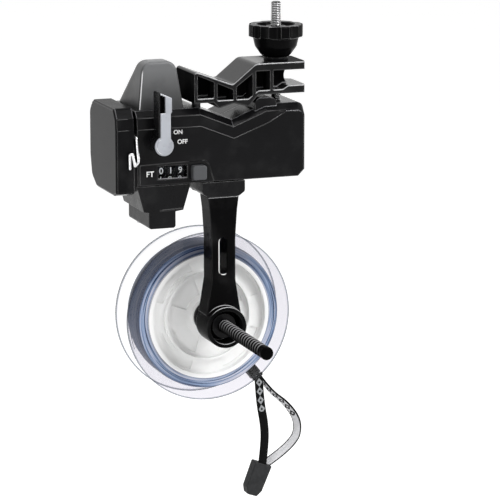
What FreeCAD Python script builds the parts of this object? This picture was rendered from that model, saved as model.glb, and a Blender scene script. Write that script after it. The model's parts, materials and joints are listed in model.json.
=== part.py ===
"""Rod-mounted fishing line winder with a length counter.

Layout axes, in millimetres: X from the housing's left end, Y from its front face (back is +Y),
Z from its underside.  save() moves every piece so that the part's origin is the centre of the
rod seat, on the axis of the rod that the clamp holds.
"""
import FreeCAD, Part
import math
import os

V = FreeCAD.Vector
os.makedirs("parts", exist_ok=True)

# ---------------------------------------------------------------- driving dimensions
GAP = 0.3              # clearance between pieces that move or seat
RUN = 0.06             # radial running clearance of a shaft in its bore
FIT = 0.01             # radial room of a pin that turns or stays with its bore
WALL = 2.0             # housing wall

BODY_W = 114.0         # housing, left end to right end
BODY_D = 47.0          # housing depth
BODY_H = 42.5          # housing height
BEVEL_H = 3.7          # height of the bevel along the housing's top front edge
BEVEL_D = 4.5          # its depth, from the front face to the flat top
BAND_H = 10.1          # from the flat top down to the lower crease of the front
BAND_LEAN = 0.8        # the band between the creases leans back this much
CORNER_R = 3.8         # housing's top right corner
CAP_W = 10.8           # end cap width
CAP_RISE = 2.0         # the end cap stands this much higher than the housing
CAP_DROP = 5.5         # and reaches this much lower
CAP_BACK = 2.4         # and stands out this much behind
SLOT_W = 1.8           # line slot between cap and housing
SLOT_Z = 11.5          # bottom of the line slot

ROD_D = 9.5            # rod held in the clamp as drawn
ROD_X = 70.3           # rod axis from the left end
SEAT_DEPTH = 8.0       # depth of the V seat in the housing's top
SEAT_HALF = 19.8       # half width of the V seat at the top

JAW_D = 31.0           # jaw depth, front to back
JAW_LEFT = 23.8        # jaw's left end, from the rod axis
JAW_CLEAR = 6.1        # underside of the jaw's flat end over the housing
JAW_H = 17.7           # thickness of that end
JAW_RIB = 2.2          # rib thickness
JAW_WEB = 10.0         # middle web
JAW_DROP = 2.0         # how far the jaw can still close
NOTCH = 8.0            # half width of the jaw's toothed notch
NOTCH_RISE = math.radians(15)
STUD_D = 6.0
STUD_INSET = 12.5      # stud axis from the housing's right end
STUD_OUT = 33.2        # stud above the jaw
NUT_W = 10.0           # square nut that anchors the stud
NUT_H = 5.0
POST_D = 5.0
POST_LEFT = 17.3       # guide post, from the rod axis
WASHER_T = 1.6
KNOB_R = 15.8
KNOB_H = 18.3

SPOOL_R = 50.0
SPOOL_W = 24.0
SPOOL_Y = 26.0         # front face of the spool
SPOOL_WALL = 1.6
SPOOL_BORE = 8.0
SPOOL_WEB = 4.4        # the web lies this deep in the barrel
BARREL_R = 36.4
PACK_T = 6.9           # thickness of the wound line
AXLE_X = 64.3
AXLE_Z = -84.7
AXLE_R = 3.75
AXLE_FRONT = -70.0
THREAD_PITCH = 3.6
THREAD_DEPTH = 0.7
HUB_R = 12.0
HUB_Y0 = -4.0
HUB_Y1 = 15.2
ARM_Y0 = 1.0
SHOE_H = 9.0
SHOE_HALF = 12.9
SHOE_D = 28.0
TONGUE_HALF = 6.5      # tongue that seats the arm in the shoe
STOP_R = 13.0          # flange of the stop behind the spool
CONE_R = 9.4           # flange of the cone in front of it
FLANGE_T = 2.7
SEAT_GAP = 2.1         # a flange's outer face, from the spool's face
CONE_IN = 8.5          # how far the cones reach into the spool's bore

SHAFT_R = 1.5          # gear shafts
COUNTER_R = 1.25       # counter shaft
WHEEL_R = 13.0         # measuring wheel
WHEEL_W = 5.0
WHEEL_X = 23.6
WHEEL_RISE = 1.5       # its axis above the housing's flat top
FRAME_X0 = 17.9        # outer face of the counter frame's left plate
FRAME_X1 = 35.7        # outer face of its right plate
FRAME_T = 1.2
FRAME_BEHIND = 6.6     # frame's rear face, from the housing's rear face
NUMBER_R = 8.5
NUMBER_W = 5.4
NUMBER_X = 25.4
GEAR_W = 2.5
PIN_R = 0.8            # pinch roller's pin
PIVOT_R = 1.0          # pinch arm's pivot
PINCH_R = 3.0
PINCH_ANGLE = math.radians(-15)

LEVER_X = 24.9
LEVER_Z = 24.3
LEVER_FRONT = -12.0
LEVER_L = 28.3         # lever's tip above its pivot
LEVER_R = 5.5          # round foot of the lever
LEVER_SLOPE = 3.4      # the head's top is this much higher at its left
FACE_T = 1.5           # silver face of the lever
FACE_STEP = 0.4        # the round foot's rim lies this far behind the face

HOOD_X0, HOOD_X1 = 15.0, 42.2   # hood's sides at its foot
HOOD_Y0, HOOD_Y1 = 4.5, 17.5    # its front face and its brow
HOOD_H = 27.3
HOOD_RIDGE = 6.5
HOOD_WALL = 1.5
HOOD_LEAN_L, HOOD_LEAN_R = 2.4, 5.1

# ---------------------------------------------------------------- derived places
PARTING = BODY_D / 2
SEAT_Z = BODY_H - SEAT_DEPTH
SEAT_SLOPE = math.atan2(SEAT_DEPTH, SEAT_HALF)
ROD_Z = SEAT_Z + ROD_D / 2 / math.cos(SEAT_SLOPE)
HOUSING_X0 = CAP_W + SLOT_W
CREASE_Z = BODY_H - BAND_H
BEVEL_Z = BODY_H - BEVEL_H
JAW_X0 = ROD_X - JAW_LEFT
JAW_X1 = BODY_W + 0.5
JAW_FOOT = BODY_H + JAW_CLEAR
JAW_TOP = JAW_FOOT + JAW_H
JAW_MID = JAW_D / 2
STUD_X = BODY_W - STUD_INSET
NUT_Z = BODY_H - 12.5
POST_X = ROD_X - POST_LEFT
ORIGIN = V(ROD_X, BODY_D / 2, ROD_Z)
SPOOL_BACK = SPOOL_Y + SPOOL_W
PACK_R = BARREL_R + PACK_T
CONE_Y = SPOOL_Y - SEAT_GAP
STOP_Y = SPOOL_BACK + SEAT_GAP
EYE = (AXLE_X + 17.0, AXLE_Z - 17.0)
WHEEL_AXIS = (20.0, BODY_H + WHEEL_RISE)      # y, z
COUNTER_AXIS = (13.0, 7.3)
FRAME_BACK = BODY_D - FRAME_BEHIND
PINCH_PIVOT = (FRAME_BACK - 2.8, BODY_H - 13.5)
FRAME_SCREWS = (22.0, 31.0)
FRAME_SCREW_Z = 11.5
SCREW_HEAD_Y = BODY_D - 5.8
SCREW_SPOTS = ((AXLE_X, 7.5), (AXLE_X, SEAT_Z - 9.5), (BODY_W - 6.5, 7.5), (BODY_W - 6.5, NUT_Z - 10.0))
SHOE_SCREWS = (AXLE_X - 9.5, AXLE_X + 9.5)
SHOE_SCREW_Y = 20.0
RIB_X = 42.4           # left face of the rib that carries the counter shaft's right end
GUIDE_Y, GUIDE_Z = 8.0, 28.4   # where the wire guide is let into the housing
LOWER_X1 = 44.5
LOWER_Y1 = BODY_D - 9.0
HOOD_Y2 = BODY_D - 0.2
INLET = (26.1, 27.0)
WINDOW_X = (25.0, 42.3)
WINDOW_Z = (3.9, 10.9)
JAW_RIBS = (JAW_X0 + 1.1, ROD_X - 10.9, ROD_X + 0.7, ROD_X + 12.4,
            ROD_X + 12.4 + 0.33 * (JAW_X1 - ROD_X - 12.4))


# ---------------------------------------------------------------- helpers
def save(name, shape):
    """Write one piece, moved to the part's own origin."""
    if shape.ShapeType == "Compound" and len(shape.Solids) == 1:
        shape = shape.Solids[0]
    placed = shape.copy()
    placed.translate(-ORIGIN)
    placed.exportStep("parts/" + name + ".step")


def rounded(points, place):
    """Closed wire through (a, b) or (a, b, r) points; r rounds the corner with a tangent arc."""
    corners = [(p[0], p[1], p[2] if len(p) > 2 else 0.0) for p in points]
    count = len(corners)
    spans = []
    for i, (a, b, r) in enumerate(corners):
        here = V(a, b, 0)
        if r <= 0:
            spans.append((here, None, here))
            continue
        before = V(corners[i - 1][0], corners[i - 1][1], 0) - here
        after = V(corners[(i + 1) % count][0], corners[(i + 1) % count][1], 0) - here
        before.normalize()
        after.normalize()
        half = before.getAngle(after) / 2
        cut = r / math.tan(half)
        middle = before + after
        middle.normalize()
        top = here + middle * (r / math.sin(half) - r)
        spans.append((here + before * cut, top, here + after * cut))
    edges = []
    for i, (start, top, end) in enumerate(spans):
        if top is not None:
            edges.append(Part.Arc(place(start), place(top), place(end)).toShape())
        following = spans[(i + 1) % count][0]
        if (following - end).Length > 1e-6:
            edges.append(Part.LineSegment(place(end), place(following)).toShape())
    return Part.Wire(edges)


def prism_xz(points, y0, y1):
    wire = rounded(points, lambda p: V(p.x, y0, p.y))
    return Part.Face(wire).extrude(V(0, y1 - y0, 0))


def prism_yz(points, x0, x1):
    wire = rounded(points, lambda p: V(x0, p.x, p.y))
    return Part.Face(wire).extrude(V(x1 - x0, 0, 0))


def prism_xy(points, z0, z1):
    wire = rounded(points, lambda p: V(p.x, p.y, z0))
    return Part.Face(wire).extrude(V(0, 0, z1 - z0))


def box(x0, x1, y0, y1, z0, z1):
    return Part.makeBox(x1 - x0, y1 - y0, z1 - z0, V(x0, y0, z0))


def rod_x(y, z, r, x0, x1):
    return Part.makeCylinder(r, x1 - x0, V(x0, y, z), V(1, 0, 0))


def rod_y(x, z, r, y0, y1):
    return Part.makeCylinder(r, y1 - y0, V(x, y0, z), V(0, 1, 0))


def rod_z(x, y, r, z0, z1):
    return Part.makeCylinder(r, z1 - z0, V(x, y, z0), V(0, 0, 1))


def turned(profile, x, z):
    """Solid of revolution about the Y line through (x, z); profile is (r, y) points."""
    wire = rounded(profile, lambda p: V(x + p.x, p.y, z))
    return Part.Face(wire).revolve(V(x, 0, z), V(0, 1, 0), 360)


def fused(*shapes):
    result = shapes[0]
    for shape in shapes[1:]:
        result = result.fuse(shape)
    return result.removeSplitter()


def mesh_point(start, end, from_start, from_end):
    """Centre of a gear that meshes with two others, on the rear side of their line (y, z)."""
    dy, dz = end[0] - start[0], end[1] - start[1]
    span = math.hypot(dy, dz)
    along = (from_start ** 2 - from_end ** 2 + span ** 2) / (2 * span)
    off = math.sqrt(from_start ** 2 - along ** 2)
    uy, uz = dy / span, dz / span
    return start[0] + along * uy - off * uz, start[1] + along * uz + off * uy


def heading(start, end):
    return math.atan2(end[1] - start[1], end[0] - start[0])


# ---------------------------------------------------------------- gear train
STAGE_1 = (10, 40, 0.65)       # pinion teeth, wheel teeth, module
STAGE_2 = (10, 40, 0.55)
STAGE_3 = (12, 28, 0.7)
X_STAGE_1 = 31.0               # left face of each stage
X_STAGE_2 = 19.3
X_STAGE_3 = 22.4
TOOTH_ROOT = 0.58              # share of the pitch that the tooth's foot fills
TOOTH_TIP = 0.20
ADDENDUM = 0.85
DEDENDUM = 1.25


def spacing(stage):
    return (stage[0] + stage[1]) * stage[2] / 2


IDLER_B = (COUNTER_AXIS[0] + spacing(STAGE_3) * math.cos(math.radians(85)),
           COUNTER_AXIS[1] + spacing(STAGE_3) * math.sin(math.radians(85)))
IDLER_A = mesh_point(WHEEL_AXIS, IDLER_B, spacing(STAGE_1), spacing(STAGE_2))


def gear(teeth, module, centre, x0, first, bore):
    """Spur gear about X; first is the angle in the YZ plane of one tooth's middle."""
    pitch = 2 * math.pi / teeth
    tip = module * (teeth / 2 + ADDENDUM)
    root = module * (teeth / 2 - DEDENDUM)
    points = []
    for i in range(teeth):
        middle = first + i * pitch
        for radius, share in ((root, -TOOTH_ROOT), (tip, -TOOTH_TIP), (tip, TOOTH_TIP), (root, TOOTH_ROOT)):
            angle = middle + share * pitch / 2
            points.append((centre[0] + radius * math.cos(angle), centre[1] + radius * math.sin(angle)))
    blank = prism_yz(points, x0, x0 + GEAR_W)
    return blank.cut(rod_x(centre[0], centre[1], bore, x0 - 1, x0 + GEAR_W + 1))


def meshing(angle, first, teeth, mate_teeth):
    """Tooth angle of the mate so that its gap faces this gear's tooth at the line of centres."""
    pitch = 2 * math.pi / teeth
    mate_pitch = 2 * math.pi / mate_teeth
    phase = ((angle - first) / pitch) % 1.0
    return angle + math.pi + (0.5 + phase) * mate_pitch


def counter_train():
    save("measuring_axle", rod_x(*WHEEL_AXIS, SHAFT_R, FRAME_X0, FRAME_X1))
    rim = fused(
        Part.makeCone(WHEEL_R, WHEEL_R - 1.0, WHEEL_W / 2, V(WHEEL_X, *WHEEL_AXIS), V(1, 0, 0)),
        Part.makeCone(WHEEL_R - 1.0, WHEEL_R, WHEEL_W / 2, V(WHEEL_X + WHEEL_W / 2, *WHEEL_AXIS), V(1, 0, 0)))
    wheel = rim.cut(rod_x(*WHEEL_AXIS, SHAFT_R + FIT, WHEEL_X - 1, WHEEL_X + WHEEL_W + 1))
    for side in (WHEEL_X - 0.01, WHEEL_X + WHEEL_W - 1.29):
        pocket = rod_x(*WHEEL_AXIS, WHEEL_R - 3.2, side, side + 1.3)
        wheel = wheel.cut(pocket.cut(rod_x(*WHEEL_AXIS, 4.0, side, side + 1.3)))
    save("measuring_wheel", wheel)

    t1 = heading(WHEEL_AXIS, IDLER_A)
    save("measuring_pinion", gear(STAGE_1[0], STAGE_1[2], WHEEL_AXIS, X_STAGE_1, t1, SHAFT_R + FIT))
    big_a = gear(STAGE_1[1], STAGE_1[2], IDLER_A, X_STAGE_1, meshing(t1, t1, *STAGE_1[:2]), SHAFT_R + RUN)
    t2 = heading(IDLER_A, IDLER_B)
    small_a = gear(STAGE_2[0], STAGE_2[2], IDLER_A, X_STAGE_2, t2, SHAFT_R + RUN)
    sleeve_a = rod_x(*IDLER_A, 2.2, X_STAGE_2 + GEAR_W, X_STAGE_1).cut(
        rod_x(*IDLER_A, SHAFT_R + RUN, X_STAGE_2, X_STAGE_1 + GEAR_W))
    save("idler_gear_a", fused(big_a, small_a, sleeve_a))
    save("idler_shaft_a", rod_x(*IDLER_A, SHAFT_R, FRAME_X0, FRAME_X1))
    big_b = gear(STAGE_2[1], STAGE_2[2], IDLER_B, X_STAGE_2, meshing(t2, t2, *STAGE_2[:2]), SHAFT_R + RUN)
    t3 = heading(IDLER_B, COUNTER_AXIS)
    small_b = gear(STAGE_3[0], STAGE_3[2], IDLER_B, X_STAGE_3, t3, SHAFT_R + RUN)
    sleeve_b = rod_x(*IDLER_B, 2.2, X_STAGE_2 + GEAR_W, X_STAGE_3).cut(
        rod_x(*IDLER_B, SHAFT_R + RUN, X_STAGE_2, X_STAGE_3 + 1))
    save("idler_gear_b", fused(big_b, small_b, sleeve_b))
    save("idler_shaft_b", rod_x(*IDLER_B, SHAFT_R, FRAME_X0, X_STAGE_3 + GEAR_W + 1.0))
    gear_c = gear(STAGE_3[1], STAGE_3[2], COUNTER_AXIS, X_STAGE_3, meshing(t3, t3, *STAGE_3[:2]),
                  COUNTER_R + FIT)
    save("counter_gear", gear_c)
    save("counter_shaft", rod_x(*COUNTER_AXIS, COUNTER_R, FRAME_X0, RIB_X + 1.5))
    for i, name in enumerate(("number_wheel_hundreds", "number_wheel_tens", "number_wheel_units")):
        x0 = NUMBER_X + i * (NUMBER_W + GAP)
        drum = rod_x(*COUNTER_AXIS, NUMBER_R, x0, x0 + NUMBER_W)
        bore = COUNTER_R + (FIT if name.endswith("units") else RUN)
        recess = rod_x(*COUNTER_AXIS, NUMBER_R - 1.6, x0 + 1.6, x0 + NUMBER_W + 1).cut(
            rod_x(*COUNTER_AXIS, 2.6, x0 + 1.6, x0 + NUMBER_W + 1))
        save(name, drum.cut(rod_x(*COUNTER_AXIS, bore, x0 - 1, x0 + NUMBER_W + 1)).cut(recess))


def counter_frame():
    """Two side plates joined by a rear web; every shaft of the counter runs in it."""
    neck = [(4.6, BODY_H - 8.5), (6.9, BODY_H - 5), (6.9, BODY_H - 0.5), (15, BODY_H + 5.9, 2),
            (25, BODY_H + 5.9, 2), (FRAME_BACK - 6.4, BODY_H + 1), (FRAME_BACK, BODY_H - 7.5), (FRAME_BACK, 8)]
    left = prism_yz([(4.6, 6)] + neck + [(20, 2.8, 3), (8, 2.8, 3)], FRAME_X0, FRAME_X0 + FRAME_T)
    right = prism_yz([(4.6, 18.8)] + neck + [(24, 8), (24, 17.2)], FRAME_X1 - FRAME_T, FRAME_X1)
    web = box(FRAME_X0, FRAME_X1, FRAME_BACK - 1.5, FRAME_BACK, 8, 15)
    frame = fused(left, right, web)
    low, high = FRAME_X0 - 1, FRAME_X1 + 1
    holes = [rod_x(*WHEEL_AXIS, SHAFT_R + RUN, low, high), rod_x(*IDLER_A, SHAFT_R + FIT, low, high),
             rod_x(*IDLER_B, SHAFT_R + FIT, low, FRAME_X0 + 2), rod_x(*COUNTER_AXIS, COUNTER_R + RUN, low, high),
             rod_x(*PINCH_PIVOT, PIVOT_R + FIT, low, FRAME_X0 + 2)]
    for x in FRAME_SCREWS:
        holes.append(rod_y(x, FRAME_SCREW_Z, 1.35, FRAME_BACK - 3, FRAME_BACK + 1))
    for hole in holes:
        frame = frame.cut(hole)
    save("counter_frame", frame)


def pinch_parts():
    """Roller that holds the line on the measuring wheel, on a swinging fork."""
    reach = WHEEL_R + PINCH_R + GAP
    centre = (WHEEL_AXIS[0] + reach * math.cos(PINCH_ANGLE), WHEEL_AXIS[1] + reach * math.sin(PINCH_ANGLE))
    cheek_t = 1.4
    cheek_x = (WHEEL_X - 1.7, WHEEL_X + WHEEL_W + 0.7)
    far = cheek_x[1] + cheek_t
    fork = box(cheek_x[0], far, PINCH_PIVOT[0] - 0.9, PINCH_PIVOT[0] + 1.2,
               PINCH_PIVOT[1] + 2.4, PINCH_PIVOT[1] + 5.2)
    for x0 in cheek_x:
        blade = [(PINCH_PIVOT[0] - 1.8, PINCH_PIVOT[1]), (PINCH_PIVOT[0] + 1.8, PINCH_PIVOT[1]),
                 (centre[0] + 1.6, centre[1]), (centre[0] - 1.6, centre[1])]
        fork = fork.fuse(fused(rod_x(*PINCH_PIVOT, 2.4, x0, x0 + cheek_t), rod_x(*centre, 2.0, x0, x0 + cheek_t),
                               prism_yz(blade, x0, x0 + cheek_t)))
    fork = fork.removeSplitter()
    fork = fork.cut(rod_x(*PINCH_PIVOT, PIVOT_R + RUN, FRAME_X0, FRAME_X1))
    fork = fork.cut(rod_x(*centre, PIN_R, FRAME_X0, FRAME_X1))
    save("pinch_arm", fork)
    save("pinch_pivot_pin", rod_x(*PINCH_PIVOT, PIVOT_R, FRAME_X0, far))
    save("pinch_pin", rod_x(*centre, PIN_R - FIT, cheek_x[0], far))
    roller = rod_x(*centre, PINCH_R, WHEEL_X, cheek_x[1] - GAP)
    save("pinch_roller", roller.cut(rod_x(*centre, PIN_R - FIT + RUN, FRAME_X0, FRAME_X1)))


# ---------------------------------------------------------------- housing
LID_Y = (0.0, BAND_LEAN, BEVEL_D)     # where the three front outlines lie


def front_outline(level):
    """Outline of the front shell at the face, at the first crease and behind the bevel."""
    top = (CREASE_Z, BEVEL_Z, BODY_H)[level]
    inset = (1.4, 0.4, 0.0)[level]
    right = BODY_W - inset
    lift = (6.0, 0.1, 0.0)[level]
    return [(HOUSING_X0, top), (ROD_X - SEAT_HALF, top), (ROD_X, top - SEAT_DEPTH),
            (ROD_X + SEAT_HALF + inset, top), (BODY_W - 12.0, top + lift), (right, top + lift, CORNER_R),
            (right, 4.0), (BODY_W - 4.0 - inset / 2, inset / 3), (HOUSING_X0, inset / 3)]


def cavity_outline():
    """Hollow of the two shells, open below over the line inlet block."""
    roof = BODY_H - 4.2
    return [(HOUSING_X0 + WALL, -1), (HOUSING_X0 + WALL, roof), (ROD_X - SEAT_HALF - 2, roof),
            (ROD_X, SEAT_Z - 5.2), (ROD_X + SEAT_HALF + 1, roof), (BODY_W - WALL - 2, roof),
            (BODY_W - WALL, roof - 2), (BODY_W - WALL, 3 * WALL), (BODY_W - 3 * WALL, WALL),
            (LOWER_X1 - 1.5, WALL), (LOWER_X1 - 1.5, -1)]


def housing_shells():
    wires = []
    for level in range(3):
        wires.append(rounded(front_outline(level), lambda p, y=LID_Y[level]: V(p.x, y, p.y)))
    lid = Part.makeLoft(wires, True, True)
    body = prism_xz(front_outline(2), LID_Y[2], PARTING)
    front = fused(lid, body)
    back_inset = [(HOUSING_X0, BODY_H - 2), (ROD_X - SEAT_HALF, BODY_H - 2), (ROD_X, SEAT_Z - 2),
                  (ROD_X + SEAT_HALF, BODY_H - 2), (BODY_W - 13, BODY_H - 2), (BODY_W - 2, BODY_H - 2, CORNER_R - 1),
                  (BODY_W - 2, 4.8), (BODY_W - 4.8, 2), (HOUSING_X0, 2)]
    edge = Part.makeLoft([rounded(front_outline(2), lambda p: V(p.x, BODY_D - 2, p.y)),
                          rounded(back_inset, lambda p: V(p.x, BODY_D, p.y))], True, True)
    rear = fused(prism_xz(front_outline(2), PARTING, BODY_D - 2), edge)

    front = front.cut(prism_xz(cavity_outline(), WALL, PARTING + 1))
    rear = rear.cut(prism_xz(cavity_outline(), PARTING - 1, BODY_D - WALL))
    well = box(HOOD_X0 + 1.9, HOOD_X1 - 1.9, HOOD_Y0 + 1.9, HOOD_Y2 - 3.2, BODY_H - 6, BODY_H + 1)
    front = front.cut(well)
    rear = rear.cut(well)
    below = box(HOUSING_X0 + WALL, LOWER_X1 - 1.5, WALL + 1, LOWER_Y1 - WALL, -1, WALL + 1)
    front = front.cut(below)
    rear = rear.cut(below)

    for x, z in SCREW_SPOTS:
        front = front.fuse(rod_y(x, z, 2.8, WALL, PARTING)).cut(rod_y(x, z, 1.3, 10, PARTING + 1))
        rear = rear.fuse(rod_y(x, z, 3.4, PARTING, BODY_D - WALL))
        rear = rear.cut(rod_y(x, z, 1.55, PARTING - 1, BODY_D)).cut(rod_y(x, z, 2.9, SCREW_HEAD_Y, BODY_D + 1))
    # ridge beside the seat, stud anchor block and guide post block
    ridge_x, ridge_z = ROD_X + 13.9, BODY_H + 3.7
    ridge = prism_xz([(ridge_x, BODY_H - 4), (ridge_x, ridge_z, 3.4), (ridge_x + 13, ridge_z, 3.4),
                      (ridge_x + 13, BODY_H - 4)], 3.2, PARTING - 0.8)
    anchor = box(STUD_X - 7, STUD_X + 7, JAW_MID - 6.5, JAW_MID + 6.5, NUT_Z - 6, BODY_H - 3)
    socket = box(POST_X - 4.5, POST_X + 4.5, JAW_MID - 4.5, JAW_MID + 4.5, NUT_Z, BODY_H - 6.5)
    front = fused(front, ridge, anchor, socket)
    front = front.cut(rod_z(STUD_X, JAW_MID, STUD_D / 2 + FIT, NUT_Z - 7, BODY_H + 5))
    half = NUT_W / 2 + 0.1
    front = front.cut(box(STUD_X - half, STUD_X + half, JAW_MID - half, PARTING + 1,
                          NUT_Z - 0.1, NUT_Z + NUT_H + 0.1))
    front = front.cut(rod_z(POST_X, JAW_MID, POST_D / 2 + FIT, NUT_Z + 1.5, BODY_H + 1))
    # counter bearing rib, counter window, lever bore, button hole, panel recess
    front = front.fuse(box(RIB_X, RIB_X + 1.6, WALL - 0.5, 18, WALL - 1, 14))
    front = front.cut(rod_x(*COUNTER_AXIS, COUNTER_R + RUN, RIB_X - 1, RIB_X + 2))
    panel = [(14.2, 12.0), (33, 12.6), (52.8, 12.8), (55.2, 10.4), (59, -2), (14.2, -2)]
    front = front.cut(prism_xz(panel, -1, 0.5))
    front = front.cut(box(*WINDOW_X, -1, WALL + 0.1, *WINDOW_Z))
    front = front.cut(box(WINDOW_X[0] - 0.8, WINDOW_X[1], 0.9, WALL + 0.1, WINDOW_Z[0] - 0.8, WINDOW_Z[1] + 0.8))
    front = front.cut(rod_y(LEVER_X, LEVER_Z, 2.4 + RUN, -1, 9))
    front = front.cut(prism_xz(button_outline(GAP), -1, WALL + 0.1))
    front = front.cut(rod_x(GUIDE_Y, GUIDE_Z, 0.62, HOUSING_X0 - 1, HOUSING_X0 + WALL + 1))
    for x in SHOE_SCREWS:
        front = front.fuse(rod_z(x, SHOE_SCREW_Y, 3.0, 1, 6.5)).cut(rod_z(x, SHOE_SCREW_Y, 1.52, -1, 5.5))
    save("front_housing", front.removeSplitter())

    rear = rear.fuse(box(FRAME_SCREWS[0] - 3, FRAME_SCREWS[1] + 3, FRAME_BACK + 0.1, BODY_D - WALL,
                         FRAME_SCREW_Z - 2.5, FRAME_SCREW_Z + 2.5))
    for x in FRAME_SCREWS:
        rear = rear.cut(rod_y(x, FRAME_SCREW_Z, 1.1, FRAME_BACK, BODY_D - 1.5))
    save("rear_housing", rear.removeSplitter())

    screws = []
    for x, z in SCREW_SPOTS:
        head = SCREW_HEAD_Y + 0.05
        screws.append(fused(rod_y(x, z, 1.25, 12, head), rod_y(x, z, 2.7, head, head + 2.2)))
    save("housing_screws", Part.makeCompound(screws))
    tabs = []
    for x in FRAME_SCREWS:
        head = FRAME_BACK - 1.55
        tabs.append(fused(rod_y(x, FRAME_SCREW_Z, 1.05, head, BODY_D - 2.2),
                          rod_y(x, FRAME_SCREW_Z, 2.0, head - 1.2, head)))
    save("frame_screws", Part.makeCompound(tabs))


BUTTON_FRONT = -3.6


def button_outline(grow):
    x0, x1, z0, z1 = 44.6 - grow, 52.9 + grow, 2.2 - grow, 10.4 + grow
    return [(x0, z0, 1.4), (x0, z1, 1.4), (x1, z1, 1.4), (x1, z0, 1.4)]


def front_fittings():
    save("counter_window", box(WINDOW_X[0] - 0.8, WINDOW_X[1], 0.9, WALL - 0.1,
                               WINDOW_Z[0] - 0.8, WINDOW_Z[1] + 0.8))
    button = prism_xz(button_outline(0), BUTTON_FRONT, 6.5)
    button = fused(button, box(44.3, 54.2, WALL + GAP, WALL + GAP + 1.4, 2.4, 11.8))
    rim = [e for e in button.Edges if abs(e.CenterOfMass.y - BUTTON_FRONT) < 1e-3]
    save("reset_button", button.makeFillet(0.7, rim))

    # lever: black body behind a silver face that frames the head's dark pocket
    back = LEVER_FRONT + FACE_T
    left, right, tip, neck = LEVER_X - 2.2, LEVER_X + 3.6, LEVER_Z + LEVER_L - 1.2, LEVER_Z + LEVER_L - 9.6
    edge, head, strip = left - 0.7, right + 0.7, LEVER_X + 0.6
    rise = LEVER_SLOPE / (head - edge)

    def top(x, drop):
        return x, tip + (head - x) * rise - drop

    arm = prism_xz([(edge, LEVER_Z), (*top(edge, 0), 0.6), (*top(head, 0.1), 0.4), (head, neck + 0.6),
                    (right, neck - 0.4), (right, LEVER_Z)], back, -1.2)
    pocket = prism_xz([(left, neck), top(left, 1.4), top(strip, 1.4), (strip, neck)], back - 1, -4.0)
    hub = rod_y(LEVER_X, LEVER_Z, LEVER_R - 0.2, back, -GAP)
    save("lever_body", fused(arm, hub).cut(pocket).cut(rod_y(LEVER_X, LEVER_Z, 1.6, back - 1, 0)))
    foot = rod_y(LEVER_X, LEVER_Z, LEVER_R, LEVER_FRONT + FACE_STEP, back)
    foot = foot.makeFillet(0.6, [e for e in foot.Edges if e.BoundBox.YMax < LEVER_FRONT + FACE_STEP + 1e-3])
    disc = rod_y(LEVER_X, LEVER_Z, LEVER_R - 1.0, LEVER_FRONT, back)
    stem = prism_xz([(left, LEVER_Z), (left, neck), (strip, neck), top(strip, 1.0), top(left, 1.0),
                     top(left, 0), (*top(head, 0), 0.4), (head, neck + 0.6), (right, neck - 0.4),
                     (right, LEVER_Z)], LEVER_FRONT, back)
    face = fused(foot, disc, stem)
    rim = [e for e in face.Edges if abs(e.BoundBox.YMin - LEVER_FRONT) < 1e-3 and e.BoundBox.YLength < 1e-3]
    save("lever_face", face.makeFillet(0.25, rim))
    shaft = fused(rod_y(LEVER_X, LEVER_Z, 1.58, back, -GAP), rod_y(LEVER_X, LEVER_Z, 2.4, -GAP, WALL + GAP),
                  rod_y(LEVER_X, LEVER_Z + 0.9, 2.9, WALL + GAP, WALL + 3.0))
    save("lever_shaft", shaft)

    # wire guide: springs from the slot, runs down the front and hooks up to the left
    path = [(HOUSING_X0 + WALL, GUIDE_Y, GUIDE_Z), (CAP_W + SLOT_W / 2, GUIDE_Y, GUIDE_Z),
            (CAP_W + SLOT_W / 2, -1.7, GUIDE_Z), (12.4, -2.4, 14.6), (10.2, -2.6, 12.4), (8.9, -3.0, 19.4),
            (7.3, -2.6, 19.2), (7.5, -2.2, 10.6)]
    save("wire_guide", bent_wire(path, 0.6, 0.9))


def bent_wire(points, radius, bend):
    """Round wire along straight runs joined by tangent arcs."""
    nodes = [V(*p) for p in points]
    edges = []
    start = nodes[0]
    for i in range(1, len(nodes) - 1):
        before = (nodes[i - 1] - nodes[i]).normalize()
        after = (nodes[i + 1] - nodes[i]).normalize()
        half = before.getAngle(after) / 2
        cut = bend / math.tan(half)
        middle = (before + after).normalize()
        top = nodes[i] + middle * (bend / math.sin(half) - bend)
        edges.append(Part.LineSegment(start, nodes[i] + before * cut).toShape())
        edges.append(Part.Arc(nodes[i] + before * cut, top, nodes[i] + after * cut).toShape())
        start = nodes[i] + after * cut
    edges.append(Part.LineSegment(start, nodes[-1]).toShape())
    wire = Part.Wire(edges)
    section = Part.Wire([Part.makeCircle(radius, nodes[0], nodes[1] - nodes[0])])
    return wire.makePipeShell([section], True, False)


def end_cap():
    """Left end piece, with the line slot between it and the housing."""
    top, back = BODY_H + CAP_RISE, BODY_D + CAP_BACK
    side = [(0, 2 - CAP_DROP, 2), (0, CREASE_Z), (BAND_LEAN, BEVEL_Z), (BEVEL_D + 0.1, top, 1.5),
            (back - 5.9, top, 4), (back, BODY_H - 4.5, 6), (back, 12, 8), (back - 2.9, 0, 6),
            (BODY_D - 9.5, -CAP_DROP, 4), (6, -CAP_DROP, 3)]
    cap = prism_yz(side, 0, CAP_W)
    rim = [e for e in cap.Edges if abs(e.BoundBox.XMin) < 1e-4 and abs(e.BoundBox.XMax) < 1e-4]
    cap = cap.makeChamfer(1.0, rim)
    pocket = [(2.2, 13.5), (2.2, BODY_H - 10.5), (3.4, BODY_H - 4.9), (6.4, top - WALL), (back - 7.4, top - WALL),
              (back - 2.4, BODY_H - 6.5), (back - 2.4, 13.5)]
    cap = cap.cut(prism_yz(pocket, WALL, CAP_W + 1))
    foot = [(0.6, -2.5), (0.6, SLOT_Z), (BODY_D - 1.5, SLOT_Z), (BODY_D - 4, 0), (BODY_D - 10.5, -4), (6, -4)]
    cap = fused(cap, prism_yz(foot, CAP_W - 1, HOUSING_X0))
    save("end_cap", cap)


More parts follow.
